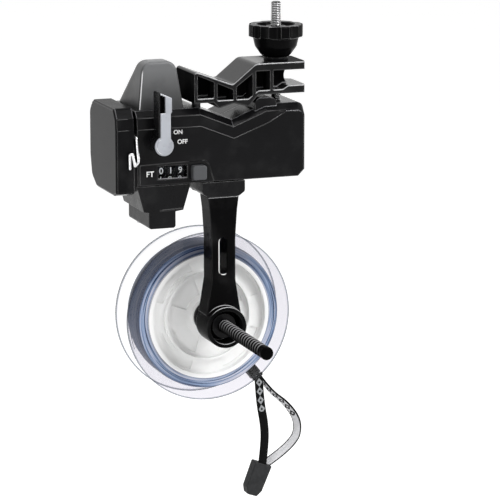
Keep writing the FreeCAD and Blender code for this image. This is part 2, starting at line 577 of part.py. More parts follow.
def dome_cover():
    """Hood over the measuring wheel: upright front, rounded ridges, back sloping to the rear edge."""
    slope = HOOD_H / (HOOD_Y2 - HOOD_Y1)
    sink = math.hypot(1, slope)

    def hood(inset, z0):
        top = BODY_H + HOOD_H - inset
        lean = (top - z0) / HOOD_H
        front_view = [(HOOD_X0 + inset, z0), (HOOD_X0 + HOOD_LEAN_L * lean + inset, top),
                      (HOOD_X1 - HOOD_LEAN_R * lean - inset, top), (HOOD_X1 - inset, z0)]
        brow = HOOD_Y1 - (sink - 1) * inset / slope
        side_view = [(HOOD_Y0 + inset, z0), (HOOD_Y0 + inset, top), (brow, top), (brow + (top - z0) / slope, z0)]
        block = prism_xz(front_view, HOOD_Y0, HOOD_Y2 + 5).common(prism_yz(side_view, HOOD_X0 - 1, HOOD_X1 + 1))
        ridges = [e for e in block.Edges if e.BoundBox.ZMax > z0 + 0.1 and e.BoundBox.YLength > 0.5 or
                  e.BoundBox.XLength > 5 and e.BoundBox.YLength < 1e-3 and abs(e.CenterOfMass.y - brow) < 1e-3]
        ridges = [e for e in ridges if e.BoundBox.ZMin > z0 - 1e-3 and e.BoundBox.ZMax > z0 + 0.1]
        return block.makeFillet(HOOD_RIDGE - inset, ridges)

    outer = hood(0.0, BODY_H)
    rim = [e for e in outer.Edges if e.BoundBox.YMax < HOOD_Y0 + 1e-3 and e.BoundBox.ZMax > BODY_H + 0.1]
    outer = outer.makeFillet(1.8, rim)
    save("dome_cover", outer.cut(hood(HOOD_WALL, BODY_H - 1)))


def lower_housing():
    """Line inlet block under the counter, open at the top into the housing."""
    outer = prism_xz([(HOUSING_X0, -GAP), (LOWER_X1, -GAP), (40.0, -15.0), (35.4, -15.6), (35.4, -25.0, 1.5),
                      (19.5, -25.0, 1.5), (19.5, -15.6), (16.5, -15.0)], 1.0, LOWER_Y1)
    inner = prism_xz([(HOUSING_X0 + 2.6, 1), (LOWER_X1 - 1.7, 1), (LOWER_X1 - 2.1, -2.6), (38.0, -13.2),
                      (33.4, -14.2), (33.4, -23.2), (21.5, -23.2), (21.5, -14.2), (18.6, -13.2)],
                     1.0 + WALL, LOWER_Y1 - WALL)
    shell = outer.cut(inner).cut(rod_z(INLET[0], INLET[1], 4.0, -27, -22))
    ledge = prism_xz([(26, -15.2), (39.6, -14.6), (39.8, -13.9), (26, -14.4)], 0.4, 1.4)
    save("lower_housing", fused(shell, ledge))
    ring = fused(rod_z(INLET[0], INLET[1], 5.2, -25.9, -25.0), rod_z(INLET[0], INLET[1], 3.95, -25.0, -22.4))
    ring = ring.cut(rod_z(INLET[0], INLET[1], 2.8, -27, -21))
    save("inlet_eyelet", ring)


# ---------------------------------------------------------------- rod clamp
def clamp():
    apex = ROD_Z + ROD_D / 2 / math.cos(NOTCH_RISE)
    tip = apex - NOTCH * math.tan(NOTCH_RISE)
    foot, low, high = BODY_H + 3.1, BODY_H - 3, JAW_TOP + 4      # foot: underside of the jaw's left end
    outline = [(JAW_X0, foot), (JAW_X0, JAW_TOP - 2.5, 1.8), (ROD_X - 0.5, JAW_TOP - 11.2, 3),
               (ROD_X + 13.5, JAW_TOP, 5), (JAW_X1, JAW_TOP), (JAW_X1, JAW_FOOT), (ROD_X + 14.7, JAW_FOOT, 2), (ROD_X + NOTCH + 1.2, tip),
               (ROD_X + NOTCH, tip), (ROD_X, apex), (ROD_X - NOTCH, tip), (ROD_X - NOTCH - 1.2, tip),
               (ROD_X - NOTCH - 4, foot)]
    jaw = prism_xz(outline, 0, JAW_D)
    prong, sill = JAW_TOP - 4.3, JAW_FOOT + 4.4      # the two prongs of the flat end
    inside = prism_xz([(JAW_X0 + 1, foot + 2.5), (JAW_X0 + 1, JAW_TOP - 4.6), (ROD_X - 0.5, JAW_TOP - 14.2),
                       (ROD_X + 13.1, prong), (JAW_X1 + 9, prong), (JAW_X1 + 9, sill), (JAW_X1 - 11, sill),
                       (JAW_X1 - 14.5, sill - 2), (ROD_X + 15.1, sill - 2), (ROD_X + 9, foot + 1),
                       (ROD_X - 11, foot + 1), (ROD_X - 12, foot + 2.5)], -1, JAW_D + 1)
    recess = (JAW_D - JAW_WEB) / 2
    for i, rib in enumerate(JAW_RIBS):
        x0 = rib + JAW_RIB / 2
        x1 = JAW_RIBS[i + 1] - JAW_RIB / 2 if i + 1 < len(JAW_RIBS) else JAW_X1 + 5
        for y0, y1 in ((-1, recess), (JAW_D - recess, JAW_D + 1)):
            jaw = jaw.cut(inside.common(box(x0, x1, y0, y1, low, high)))
    bite_x = JAW_X1 - 3.4
    bite = rod_y(bite_x, (prong + sill) / 2, 6.6, -1, JAW_D + 1)
    bite = bite.fuse(box(bite_x, JAW_X1 + 3, -1, JAW_D + 1, sill, prong))
    jaw = jaw.cut(bite.common(box(STUD_X, JAW_X1 + 3, -1, JAW_D + 1, sill, prong)))
    jaw = jaw.cut(prism_xy([(JAW_X1 - 15, JAW_D + 1), (JAW_X1 + 1, JAW_D - 7), (JAW_X1 + 1, JAW_D + 1)], low, high))
    jaw = jaw.cut(prism_xy([(JAW_X1 - 1.6, -1), (JAW_X1 + 1, 8), (JAW_X1 + 1, -1)], low, high))
    for i in range(6):
        run = 1.4 + i * 1.15
        for x in (ROD_X - run, ROD_X + run):
            z = apex - run * math.tan(NOTCH_RISE)
            jaw = jaw.cut(prism_xz([(x - 0.4, z - 0.6), (x, z + 0.45), (x + 0.4, z - 0.6)], -1, JAW_D + 1))
    jaw = jaw.cut(rod_z(STUD_X, JAW_MID, STUD_D / 2 + GAP, low, high))
    jaw = jaw.cut(rod_z(POST_X, JAW_MID, POST_D / 2 + GAP, low, JAW_TOP - 6))
    save("clamp_jaw", jaw.removeSplitter())

    point = 0.8
    stud = rod_z(STUD_X, JAW_MID, STUD_D / 2, NUT_Z - 5, JAW_TOP + STUD_OUT - point)
    save("clamp_stud", fused(stud, Part.makeCone(STUD_D / 2, STUD_D / 2 - point, point,
                                                 V(STUD_X, JAW_MID, JAW_TOP + STUD_OUT - point))))
    nut = box(STUD_X - NUT_W / 2, STUD_X + NUT_W / 2, JAW_MID - NUT_W / 2, JAW_MID + NUT_W / 2, NUT_Z, NUT_Z + NUT_H)
    save("stud_nut", nut.cut(rod_z(STUD_X, JAW_MID, STUD_D / 2 + FIT, NUT_Z - 1, NUT_Z + NUT_H + 1)))
    save("guide_post", rod_z(POST_X, JAW_MID, POST_D / 2, NUT_Z + 1.6, JAW_TOP - 6 - JAW_DROP - GAP))

    base = JAW_TOP + WASHER_T
    washer = rod_z(STUD_X, JAW_MID, 7.0, JAW_TOP, base)
    save("clamp_washer", washer.cut(rod_z(STUD_X, JAW_MID, STUD_D / 2 + GAP, low, base + 1)))
    base += GAP
    top = base + KNOB_H
    bore = STUD_D / 2 + 0.1
    profile = [(bore, base), (7.6, base), (9.0, base + 1.4, 1.5), (12.0, base + 5.6, 4), (13.2, base + 10.8),
               (KNOB_R, base + 11.6), (KNOB_R, top, 0.8), (KNOB_R - 4.4, top), (KNOB_R - 6.4, top - 3.2),
               (6.2, top - 3.2), (5.4, top - 1.0), (bore, top - 1.0)]
    wire = rounded(profile, lambda p: V(STUD_X + p.x, JAW_MID, p.y))
    knob = Part.Face(wire).revolve(V(STUD_X, JAW_MID, 0), V(0, 0, 1), 360)
    for i in range(8):
        angle = 2 * math.pi * (i + 0.5) / 8
        knob = knob.cut(rod_z(STUD_X + (KNOB_R + 2.6) * math.cos(angle), JAW_MID + (KNOB_R + 2.6) * math.sin(angle),
                              4.6, base + 9, top + 1))
    save("clamp_knob", knob.removeSplitter())


# ---------------------------------------------------------------- spool arm and spool
SLOT_HALF = 2.4        # half width of the arm's slot
SLOT_TOP, SLOT_FOOT = -33.0, AXLE_Z + 30.3


def arm():
    """Arm with its hub, and the shoe and screws that hold it under the housing."""
    top = -SHOE_H - GAP
    half_widths = ((top, 9.2), (-17.0, 8.2), (SLOT_TOP, 7.1), (AXLE_Z + 26.7, 7.1), (AXLE_Z + 13.7, 9.2),
                   (AXLE_Z + 6.7, 10.5))
    right = [(AXLE_X + half, z, 8 if 0 < i < 4 else 0) for i, (z, half) in enumerate(half_widths)]
    left = [(2 * AXLE_X - x, z, r) for x, z, r in reversed(right)]
    blade = prism_xz(right + left, ARM_Y0, HUB_Y1)
    tongue = box(AXLE_X - TONGUE_HALF, AXLE_X + TONGUE_HALF, ARM_Y0 + 3, ARM_Y0 + 9, top - 0.5, -3.2)
    whole = fused(blade, tongue, rod_y(AXLE_X, AXLE_Z, HUB_R, HUB_Y0, HUB_Y1))
    whole = whole.cut(rod_y(AXLE_X, AXLE_Z, HUB_R - 2.3, HUB_Y0 - 1, COLLAR_Y1))
    whole = whole.cut(rod_y(AXLE_X, AXLE_Z, AXLE_R + GAP, 0, HUB_Y1 + 1))

    def slot(half, y0, y1):
        r = half - 0.05
        return prism_xz([(AXLE_X - half, SLOT_TOP, r), (AXLE_X + half, SLOT_TOP, r), (AXLE_X + half, SLOT_FOOT, r),
                         (AXLE_X - half, SLOT_FOOT, r)], y0, y1)
    whole = whole.cut(slot(SLOT_HALF, ARM_Y0 - 1, HUB_Y1 + 1))
    lip = [e for e in whole.Edges if abs(e.BoundBox.YMin - ARM_Y0) < 1e-3 and e.BoundBox.YLength < 1e-3 and
           abs(e.CenterOfMass.x - AXLE_X) < SLOT_HALF + 0.1 and SLOT_FOOT - 0.1 < e.CenterOfMass.z < SLOT_TOP + 0.1]
    save("spool_arm", whole.makeFillet(0.7, lip))

    shoe = prism_xz([(AXLE_X + SHOE_HALF, -GAP), (AXLE_X + SHOE_HALF, -6.5, 2), (AXLE_X + 9.4, -SHOE_H),
                     (AXLE_X - 9.4, -SHOE_H), (AXLE_X - SHOE_HALF, -6.5, 2), (AXLE_X - SHOE_HALF, -GAP)], 0.6, SHOE_D)
    shoe = shoe.cut(box(AXLE_X - TONGUE_HALF - RUN, AXLE_X + TONGUE_HALF + RUN, ARM_Y0 + 3 - RUN, ARM_Y0 + 9 + RUN,
                        -SHOE_H - 1, -3.0))
    screws = []
    for x in SHOE_SCREWS:
        shoe = shoe.cut(rod_z(x, SHOE_SCREW_Y, 1.6, -SHOE_H - 1, 0)).cut(rod_z(x, SHOE_SCREW_Y, 2.9, -SHOE_H - 1, -5.5))
        screws.append(fused(rod_z(x, SHOE_SCREW_Y, 1.5, -5.5, 5.0), rod_z(x, SHOE_SCREW_Y, 2.7, -7.6, -5.5)))
    save("arm_shoe", shoe)
    save("shoe_screws", Part.makeCompound(screws))
    collar = rod_y(AXLE_X, AXLE_Z, 7.2, 0.4, COLLAR_Y1)
    save("tension_nut", collar.cut(rod_y(AXLE_X, AXLE_Z, AXLE_R + RUN, -1, COLLAR_Y1 + 1)))


COLLAR_Y1 = 8.0        # floor of the hub's cup
COIL_R, WIRE_R, COILS = 6.2, 0.65, 3
STEPS, SIDES = 20, 6   # facets of the coil, round one turn and round the wire


def coil_spring():
    """Compression spring, faceted, from rings of points joined by triangles."""
    start = HUB_Y1 + GAP + WIRE_R
    rise = CONE_Y - GAP - WIRE_R - start
    rings = []
    for i in range(COILS * STEPS + 1):
        out = V(math.cos(2 * math.pi * i / STEPS), 0, math.sin(2 * math.pi * i / STEPS))
        centre = V(AXLE_X, start + rise * i / (COILS * STEPS), AXLE_Z) + out * COIL_R
        around = [2 * math.pi * k / SIDES for k in range(SIDES)]
        rings.append([centre + out * (WIRE_R * math.cos(a)) + V(0, WIRE_R * math.sin(a), 0) for a in around])
    faces = [Part.Face(Part.makePolygon(ring + ring[:1])) for ring in (rings[0], rings[-1])]
    for ring, beyond in zip(rings, rings[1:]):
        for k in range(SIDES):
            n = (k + 1) % SIDES
            for corners in ((ring[k], ring[n], beyond[n]), (ring[k], beyond[n], beyond[k])):
                faces.append(Part.Face(Part.makePolygon([*corners, corners[0]])))
    solid = Part.makeSolid(Part.makeShell(faces))
    if solid.Volume < 0:
        solid.reverse()
    return solid


def seat_cone(flange_r, face, inward):
    """Flange and cone that centre the spool's bore; inward is 1 where the spool lies behind the face."""
    bore = AXLE_R + RUN
    return turned([(bore, face), (flange_r, face, 1), (flange_r, face + inward * FLANGE_T),
                   (SPOOL_BORE - 0.4, face + inward * FLANGE_T), (SPOOL_BORE - 1.6, face + inward * CONE_IN),
                   (bore, face + inward * CONE_IN)], AXLE_X, AXLE_Z)


def spring_and_cones():
    save("tension_spring", coil_spring())
    save("front_cone", seat_cone(CONE_R, CONE_Y, 1))
    ear = prism_xz([(AXLE_X + 4.5, AXLE_Z - 9.5), (AXLE_X + 9.5, AXLE_Z - 4.5), (EYE[0] + 5.0, EYE[1], 3.4),
                    (EYE[0], EYE[1] - 5.0, 3.4)], STOP_Y - FLANGE_T, STOP_Y)
    stop = fused(seat_cone(STOP_R, STOP_Y, -1), ear).cut(rod_y(*EYE, 1.52, STOP_Y - 4, STOP_Y + 1))
    save("spool_stop", stop)


def axle():
    start, end = AXLE_FRONT, STOP_Y + 7.5
    profile = [(0, start), (AXLE_R - 0.6, start), (AXLE_R, start + 0.6), (AXLE_R, start + 5.0)]
    y = start + 5.0
    while y + THREAD_PITCH < end - 2:
        profile += [(AXLE_R - THREAD_DEPTH, y + 0.3 * THREAD_PITCH), (AXLE_R - THREAD_DEPTH, y + 0.5 * THREAD_PITCH),
                    (AXLE_R, y + 0.8 * THREAD_PITCH), (AXLE_R, y + THREAD_PITCH)]
        y += THREAD_PITCH
    profile += [(AXLE_R, end), (0, end)]
    bolt = turned(profile, AXLE_X, AXLE_Z)
    save("threaded_axle", bolt)
    face = STOP_Y + GAP
    knob = turned([(0, end), (AXLE_R, end), (AXLE_R, face), (11.5, face), (13.0, face + 1.5, 0.8),
                   (14.0, face + 9.5, 2.0), (0, face + 9.5)], AXLE_X, AXLE_Z)
    for i in range(6):
        angle = math.pi / 3 * (i + 0.5)
        knob = knob.cut(rod_y(AXLE_X + 17.8 * math.cos(angle), AXLE_Z + 17.8 * math.sin(angle), 6.2,
                              face - 1, face + 11))
    save("axle_knob", knob)


# ---------------------------------------------------------------- hanging webbing loop
BAND_W = 5.4           # webbing width
BAND_T = 1.2           # webbing thickness
STRAP_LEFT = [(105.6, -132.2), (106.4, -146.5), (109.6, -163.0), (109.4, -176.0), (107.6, -189.0)]
STRAP_RIGHT = [(105.6, -129.6), (113.6, -141.6), (125.0, -150.6), (133.4, -163.6), (129.6, -177.2),
               (110.6, -187.9)]
STRAP_LEFT_Y = 54.0
STRAP_RIGHT_Y = 57.7
TWIST_TOP, TWIST_FOOT = math.radians(-12), math.radians(-62)   # the right strand turns its inside to the front
STRAP_FOOT = (103.0, -129.0)
TAB_TOP = (108.6, -186.2)
TAB_LEAN = math.radians(20)
TAB_L = 20.4
STATIONS = 24          # sections along a strand


def band(points, y, first, last):
    """Webbing along straight runs joined by tangent arcs; it turns from the first to the last angle."""
    nodes = [V(px, y, pz) for px, pz in points]
    runs = [nodes[i + 1] - nodes[i] for i in range(len(nodes) - 1)]
    edges = []
    start = nodes[0]
    for i in range(1, len(nodes) - 1):
        before = (nodes[i - 1] - nodes[i]).normalize()
        after = (nodes[i + 1] - nodes[i]).normalize()
        half = before.getAngle(after) / 2
        cut = 0.45 * min(runs[i - 1].Length, runs[i].Length)
        radius = cut * math.tan(half)
        middle = (before + after).normalize()
        top = nodes[i] + middle * (radius / math.sin(half) - radius)
        edges.append(Part.LineSegment(start, nodes[i] + before * cut).toShape())
        edges.append(Part.Arc(nodes[i] + before * cut, top, nodes[i] + after * cut).toShape())
        start = nodes[i] + after * cut
    edges.append(Part.LineSegment(start, nodes[-1]).toShape())
    wire = Part.Wire(edges)
    line = wire.discretize(STATIONS)
    sections = []
    for i, point in enumerate(line):
        along = (line[min(i + 1, STATIONS - 1)] - line[max(i - 1, 0)]).normalize()
        side = V(-along.z, 0, along.x)
        turn = first + (last - first) * i / (STATIONS - 1)
        wide = V(0, math.cos(turn), 0) + side * math.sin(turn)
        thin = along.cross(wide)
        corners = [point + wide * (BAND_W / 2 * a) + thin * (BAND_T / 2 * b)
                   for a, b in ((1, 1), (1, -1), (-1, -1), (-1, 1))]
        sections.append(Part.makePolygon(corners + corners[:1]))
    print("band", round(wire.Length, 1), "mm long")
    return Part.makeLoft(sections, True, False)


def strap():
    """Riveted webbing, a crimped ferrule, the two strands of the loop and the moulded tab."""
    along = V(STRAP_FOOT[0] - EYE[0], 0, STRAP_FOOT[1] - EYE[1])
    length = along.Length
    along.normalize()
    side = V(-along.z, 0, along.x)

    def at(run, off):
        point = V(EYE[0], 0, EYE[1]) + along * run + side * off
        return point.x, point.z

    half = BAND_W / 2
    lead = prism_xz([(*at(-4, half), 1), (*at(length - 1, half),), (*at(length - 1, -half),), (*at(-4, -half), 1)],
                    STOP_Y, STOP_Y + 2 * BAND_T - 0.1)
    save("strap_lead", lead.cut(rod_y(*EYE, 1.52, STOP_Y - 1, STOP_Y + 3)))
    rivet = fused(rod_y(*EYE, 1.5, STOP_Y - 2.7, STOP_Y + 2.3), rod_y(*EYE, 2.6, STOP_Y + 2.3, STOP_Y + 3.1))
    save("strap_rivet", rivet)
    ferrule = prism_xz([(*at(length - 5, 3.3), 0.6), (*at(length + 3.6, 3.3), 0.6), (*at(length + 3.6, -3.3), 0.6),
                        (*at(length - 5, -3.3), 0.6)], STOP_Y, STRAP_RIGHT_Y + BAND_W / 2 + 0.4)
    save("strap_ferrule", ferrule)
    save("strap_left", band(STRAP_LEFT, STRAP_LEFT_Y, math.pi / 2, math.pi / 2))
    save("strap_right", band(STRAP_RIGHT, STRAP_RIGHT_Y, TWIST_TOP, TWIST_FOOT))
    down = V(-math.sin(TAB_LEAN), 0, -math.cos(TAB_LEAN))
    out = V(math.cos(TAB_LEAN), 0, -math.sin(TAB_LEAN))

    def tab_at(run, off):
        point = V(TAB_TOP[0], 0, TAB_TOP[1]) + down * run + out * off
        return point.x, point.z

    tab = prism_xz([(*tab_at(0, -5.5), 0.8), (*tab_at(0, 5.8), 0.8), (*tab_at(TAB_L - 4, 4.8), 1),
                    (*tab_at(TAB_L, 2.6), 1), (*tab_at(TAB_L, -3.6), 1), (*tab_at(TAB_L - 4, -5.6), 1)],
                   STRAP_LEFT_Y - 1.2, STRAP_RIGHT_Y + 2.9)
    rim = [e for e in tab.Edges if e.BoundBox.YLength < 1e-3]
    save("strap_tab", tab.makeFillet(0.8, rim))


def spool():
    mid = SPOOL_Y + SPOOL_W / 2
    for name, side in (("spool_front_half", 1), ("spool_rear_half", -1)):
        def y(offset):
            return mid - side * (SPOOL_W / 2 - offset)
        t, web = SPOOL_WALL, SPOOL_WEB
        half = turned([(SPOOL_R - 1.6, y(0)), (SPOOL_R, y(0.4)), (SPOOL_R, y(t + 0.4)), (SPOOL_R - 1.6, y(t)),
                       (BARREL_R, y(t)), (BARREL_R, y(SPOOL_W / 2)), (BARREL_R - t, y(SPOOL_W / 2)),
                       (BARREL_R - t, y(web + t)), (SPOOL_BORE + t, y(web + t)), (SPOOL_BORE + t, y(SPOOL_W / 2)),
                       (SPOOL_BORE, y(SPOOL_W / 2)), (SPOOL_BORE, y(1.0)), (SPOOL_BORE + t, y(1.0)),
                       (SPOOL_BORE + t, y(web)), (25.4, y(web)), (25.4, y(1.2)), (26.6, y(1.2)), (26.6, y(web)),
                       (BARREL_R - t, y(web)), (BARREL_R - t, y(0))], AXLE_X, AXLE_Z)
        for i in range(4):      # shallow panels in the outer face of the web
            first, last = math.radians(90 * i + 18), math.radians(90 * i + 72)
            for r0, r1 in ((13.0, 23.0), (28.2, BARREL_R - 3.0)):
                half = half.cut(sector(r0, r1, first, last, y(web - 0.5), y(web + t / 2)))
        save(name, half)
    pack = turned([(BARREL_R + 0.02, SPOOL_Y + SPOOL_WALL + 0.1), (PACK_R - 0.4, SPOOL_Y + SPOOL_WALL + 0.1),
                   (PACK_R, SPOOL_Y + 5), (PACK_R, SPOOL_BACK - 5), (PACK_R - 0.4, SPOOL_BACK - SPOOL_WALL - 0.1),
                   (BARREL_R + 0.02, SPOOL_BACK - SPOOL_WALL - 0.1)], AXLE_X, AXLE_Z)
    save("line_pack", pack)


def sector(r0, r1, first, last, ya, yb):
    def at(r, angle, y):
        return V(AXLE_X + r * math.cos(angle), y, AXLE_Z + r * math.sin(angle))
    y0, y1 = min(ya, yb), max(ya, yb)
    middle = (first + last) / 2
    edges = [Part.Arc(at(r0, first, y0), at(r0, middle, y0), at(r0, last, y0)).toShape(),
             Part.LineSegment(at(r0, last, y0), at(r1, last, y0)).toShape(),
             Part.Arc(at(r1, last, y0), at(r1, middle, y0), at(r1, first, y0)).toShape(),
             Part.LineSegment(at(r1, first, y0), at(r0, first, y0)).toShape()]
    return Part.Face(Part.Wire(edges)).extrude(V(0, y1 - y0, 0))


housing_shells()
front_fittings()
end_cap()
dome_cover()
lower_housing()
counter_train()
counter_frame()
pinch_parts()
clamp()
arm()
spring_and_cones()
axle()
spool()
strap()
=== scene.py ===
import json
import math

import bmesh
import bpy
from mathutils import Matrix, Vector


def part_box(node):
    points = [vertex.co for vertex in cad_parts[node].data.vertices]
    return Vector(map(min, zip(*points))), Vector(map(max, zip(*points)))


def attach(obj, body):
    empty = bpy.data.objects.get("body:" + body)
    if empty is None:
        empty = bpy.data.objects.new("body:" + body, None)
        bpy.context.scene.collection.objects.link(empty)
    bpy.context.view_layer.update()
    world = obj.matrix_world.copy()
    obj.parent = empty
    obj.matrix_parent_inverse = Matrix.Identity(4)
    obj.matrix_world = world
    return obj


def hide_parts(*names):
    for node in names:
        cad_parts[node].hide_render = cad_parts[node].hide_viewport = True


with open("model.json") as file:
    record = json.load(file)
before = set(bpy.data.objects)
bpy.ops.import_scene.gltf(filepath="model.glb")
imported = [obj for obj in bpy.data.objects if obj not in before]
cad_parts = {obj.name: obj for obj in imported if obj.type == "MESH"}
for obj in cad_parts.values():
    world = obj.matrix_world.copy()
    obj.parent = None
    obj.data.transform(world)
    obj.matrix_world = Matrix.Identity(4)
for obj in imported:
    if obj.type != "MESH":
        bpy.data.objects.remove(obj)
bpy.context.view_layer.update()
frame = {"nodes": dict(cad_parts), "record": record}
nodes = frame["nodes"]

# ---------------------------------------------------------------- places
# Written in millimetres from the housing's lower left front corner: x right, y back, z up.
MM = 0.001
SEAT = Vector((70.3, 23.5, 39.6231))      # rod axis at mid depth, the frame's origin
AXLE_X, AXLE_Z = 64.3, -84.7              # the spool's axle
SLOT_TOP, SLOT_FOOT = -33.0, -54.4        # upper and lower end of the arm's slot
SLOT_ROUND = 2.4                          # radius of the slot's ends


def at(x, y, z):
    """A point given in the housing's millimetres, in the frame's metres."""
    return (Vector((x, y, z)) - SEAT) * MM


JAW_FRONT = at(114.5, 0.0, 66.3)          # upper right front corner of the jaw
FROST_R = 36.8 * MM                       # the spool's disc is frosted out to here
RIM_R = 49.1 * MM                         # and its flanges are grey from here
PACK_IN, PACK_OUT = 36.4 * MM, 43.3 * MM  # inner and outer radius of the wound line
PACK_MIDDLE = 14.5 * MM                   # its middle, behind the frame's origin
PACK_HALF = 10.3 * MM                     # half its width

# ---------------------------------------------------------------- node helpers
SHINE = "Specular IOR Level"
BEVEL_SAMPLES = 8
NOISE_ROUGH = 0.55
NOISE_LOW, NOISE_HIGH = 0.3, 0.7          # most of a noise lies between these
ON_FACE, ON_EDGE = 0.995, 0.95            # rounded normal against the true one


class Surface:
    """A finish under construction: a material, its Principled shader and the nodes that feed it."""

    def __init__(self, name, base, rough, specular=0.5, metallic=0.0):
        self.material = bpy.data.materials.new(name)
        self.material.use_nodes = True
        self.tree = self.material.node_tree
        self.shader = self.tree.nodes["Principled BSDF"]
        self.put("Base Color", (*base, 1))
        self.put("Roughness", rough)
        self.put(SHINE, specular)
        self.put("Metallic", metallic)
        self.coords = self.node("ShaderNodeTexCoord").outputs["Object"]
        self.rounded = None               # the normal with its rounded edges
        self.normal = None                # that normal with the bumps so far

    def feed(self, target, value):
        """Gives an input its value, which is written or another node's output."""
        if isinstance(value, bpy.types.NodeSocket):
            self.tree.links.new(value, target)
        else:
            target.default_value = value

    def put(self, name, value):
        """Feeds one of the shader's inputs."""
        self.feed(self.shader.inputs[name], value)

    def node(self, kind, **inputs):
        """A new node with some of its inputs fed."""
        made = self.tree.nodes.new(kind)
        for name, value in inputs.items():
            self.feed(made.inputs[name.replace("_", " ")], value)
        return made

    def noise(self, scale, detail=3.0):
        """Noise over the object, with scale in waves per metre."""
        return self.node("ShaderNodeTexNoise", Vector=self.coords, Scale=scale, Detail=detail,
                         Roughness=NOISE_ROUGH).outputs["Fac"]

    def between(self, value, low, high, start=0.0, end=1.0):
        """A value from low to high mapped to start and end, and held there beyond."""
        return self.node("ShaderNodeMapRange", Value=value, From_Min=low, From_Max=high, To_Min=start,
                         To_Max=end).outputs[0]

    def spread(self, noise, low, high):
        """Most of a noise's range mapped to low and high."""
        return self.between(noise, NOISE_LOW, NOISE_HIGH, low, high)

    def ramp(self, value, stops):
        """A value turned into colours, each at its place."""
        ramp = self.node("ShaderNodeValToRGB", Fac=value)
        while len(ramp.color_ramp.elements) < len(stops):
            ramp.color_ramp.elements.new(0.5)
        for element, (place, colour) in zip(ramp.color_ramp.elements, stops):
            element.position = place
            element.color = (*colour, 1)
        return ramp.outputs["Color"]

    def operate(self, kind, operation, values):
        """A maths node of either kind, with its values fed in order."""
        made = self.node(kind)
        made.operation = operation
        for target, value in zip(made.inputs, values):
            self.feed(target, value)
        return made

    def math(self, operation, *values):
        return self.operate("ShaderNodeMath", operation, values).outputs[0]

    def product(self, first, *others):
        for other in others:
            first = self.math("MULTIPLY", first, other)
        return first

    def vector(self, operation, output, *values):
        return self.operate("ShaderNodeVectorMath", operation, values).outputs[output]

    def parts(self, vector):
        """The x, y and z of a vector."""
        split = self.node("ShaderNodeSeparateXYZ", Vector=vector)
        return [split.outputs[axis] for axis in "XYZ"]

    def mixed(self, factor, first, second):
        """Two colours, each written or a socket, mixed by a factor."""
        mix = self.node("ShaderNodeMix")
        mix.data_type = "RGBA"
        self.feed(mix.inputs["Factor"], factor)
        for name, value in (("A", first), ("B", second)):
            target = next(i for i in mix.inputs if i.name == name and i.type == "RGBA")
            self.feed(target, (*value, 1) if isinstance(value, tuple) else value)
        return next(o for o in mix.outputs if o.type == "RGBA")

    def from_axis(self, point, across):
        """Distance from an axis through a point; across is 1 in the two directions square to it."""
        back = [-a * b for a, b in zip(point, across)]
        offset = self.vector("MULTIPLY_ADD", "Vector", self.coords, across, back)
        return self.vector("LENGTH", "Value", offset)

    def around_axle(self):
        """Distance from the spool's axle, the x and z of the direction from it, and the depth."""
        centre = at(AXLE_X, 0, AXLE_Z)
        x, depth, z = self.parts(self.coords)
        x = self.math("SUBTRACT", x, centre.x)
        z = self.math("SUBTRACT", z, centre.z)
        radius = self.math("SQRT", self.math("ADD", self.product(x, x), self.product(z, z)))
        return radius, self.math("DIVIDE", x, radius), self.math("DIVIDE", z, radius), depth

    def bump(self, height, distance, strength=1.0):
        """Adds a bump to what shapes the normal so far."""
        made = self.node("ShaderNodeBump", Strength=strength, Distance=distance, Height=height)
        if self.normal is not None:
            self.feed(made.inputs["Normal"], self.normal)
        self.normal = made.outputs["Normal"]
        self.put("Normal", self.normal)

    def soft_edges(self, radius):
        """Edges that shade as if they were rounded."""
        bevel = self.node("ShaderNodeBevel", Radius=radius)
        bevel.samples = BEVEL_SAMPLES
        self.rounded = self.normal = bevel.outputs["Normal"]
        self.put("Normal", self.normal)

    def true_normal(self):
        return self.node("ShaderNodeNewGeometry").outputs["Normal"]

    def facing(self, direction):
        """How far the rounded surface faces a direction, with 1 for straight at it."""
        return self.vector("DOT_PRODUCT", "Value", self.rounded, direction)

    def on_edge(self, low=0.0, high=1.0):
        """Low on faces, high on the rounded edges."""
        return self.between(self.facing(self.true_normal()), ON_FACE, ON_EDGE, low, high)

    def dim(self, factor):
        """Multiplies the shine that is linked so far by a factor."""
        shine = self.shader.inputs[SHINE].links[0].from_socket
        self.put(SHINE, self.product(shine, factor))


# ---------------------------------------------------------------- plastics
# Directions that the painted highlights on rounded edges face
UP_FRONT = (0.0, -0.6, 0.8)
LEFT_FRONT = (-0.6, -0.8, 0.05)
RIGHT_FRONT = (0.6, -0.8, 0.0)
LEFT_BELOW = (-0.55, -0.70, -0.45)
FLOW_SCALE, WEAR_SCALE, GRAIN_SCALE = 45.0, 160.0, 5200.0
FLOW_GREY, FLOW_SHARE = 0.22, 0.042       # flow marks go towards this grey by this share of the way
FLOW_DARK = 0.82                          # and the plastic between them is this much darker
SMOOTHER, DULLER = 0.85, 1.2              # roughness varies between these times what is asked for
# The jaw's pockets, left end and flat top get painted shade: most of their shine is taken out
POCKET_SHINE = 0.005                      # share of the shine left in the jaw's pockets, end and top
CAP_TOP_SHINE = 0.15                      # and on the end cap's top
FROSTED_ROUGH = 0.42                      # roughness of the spool's disc
FROSTED_CLEAR = 0.18                      # and the share of light that goes through it
FROST_STOPS = [(0.3, (0.93, 0.935, 0.93)), (0.7, (0.985, 0.985, 0.98))]
RIM_GREY = (0.28, 0.30, 0.34)


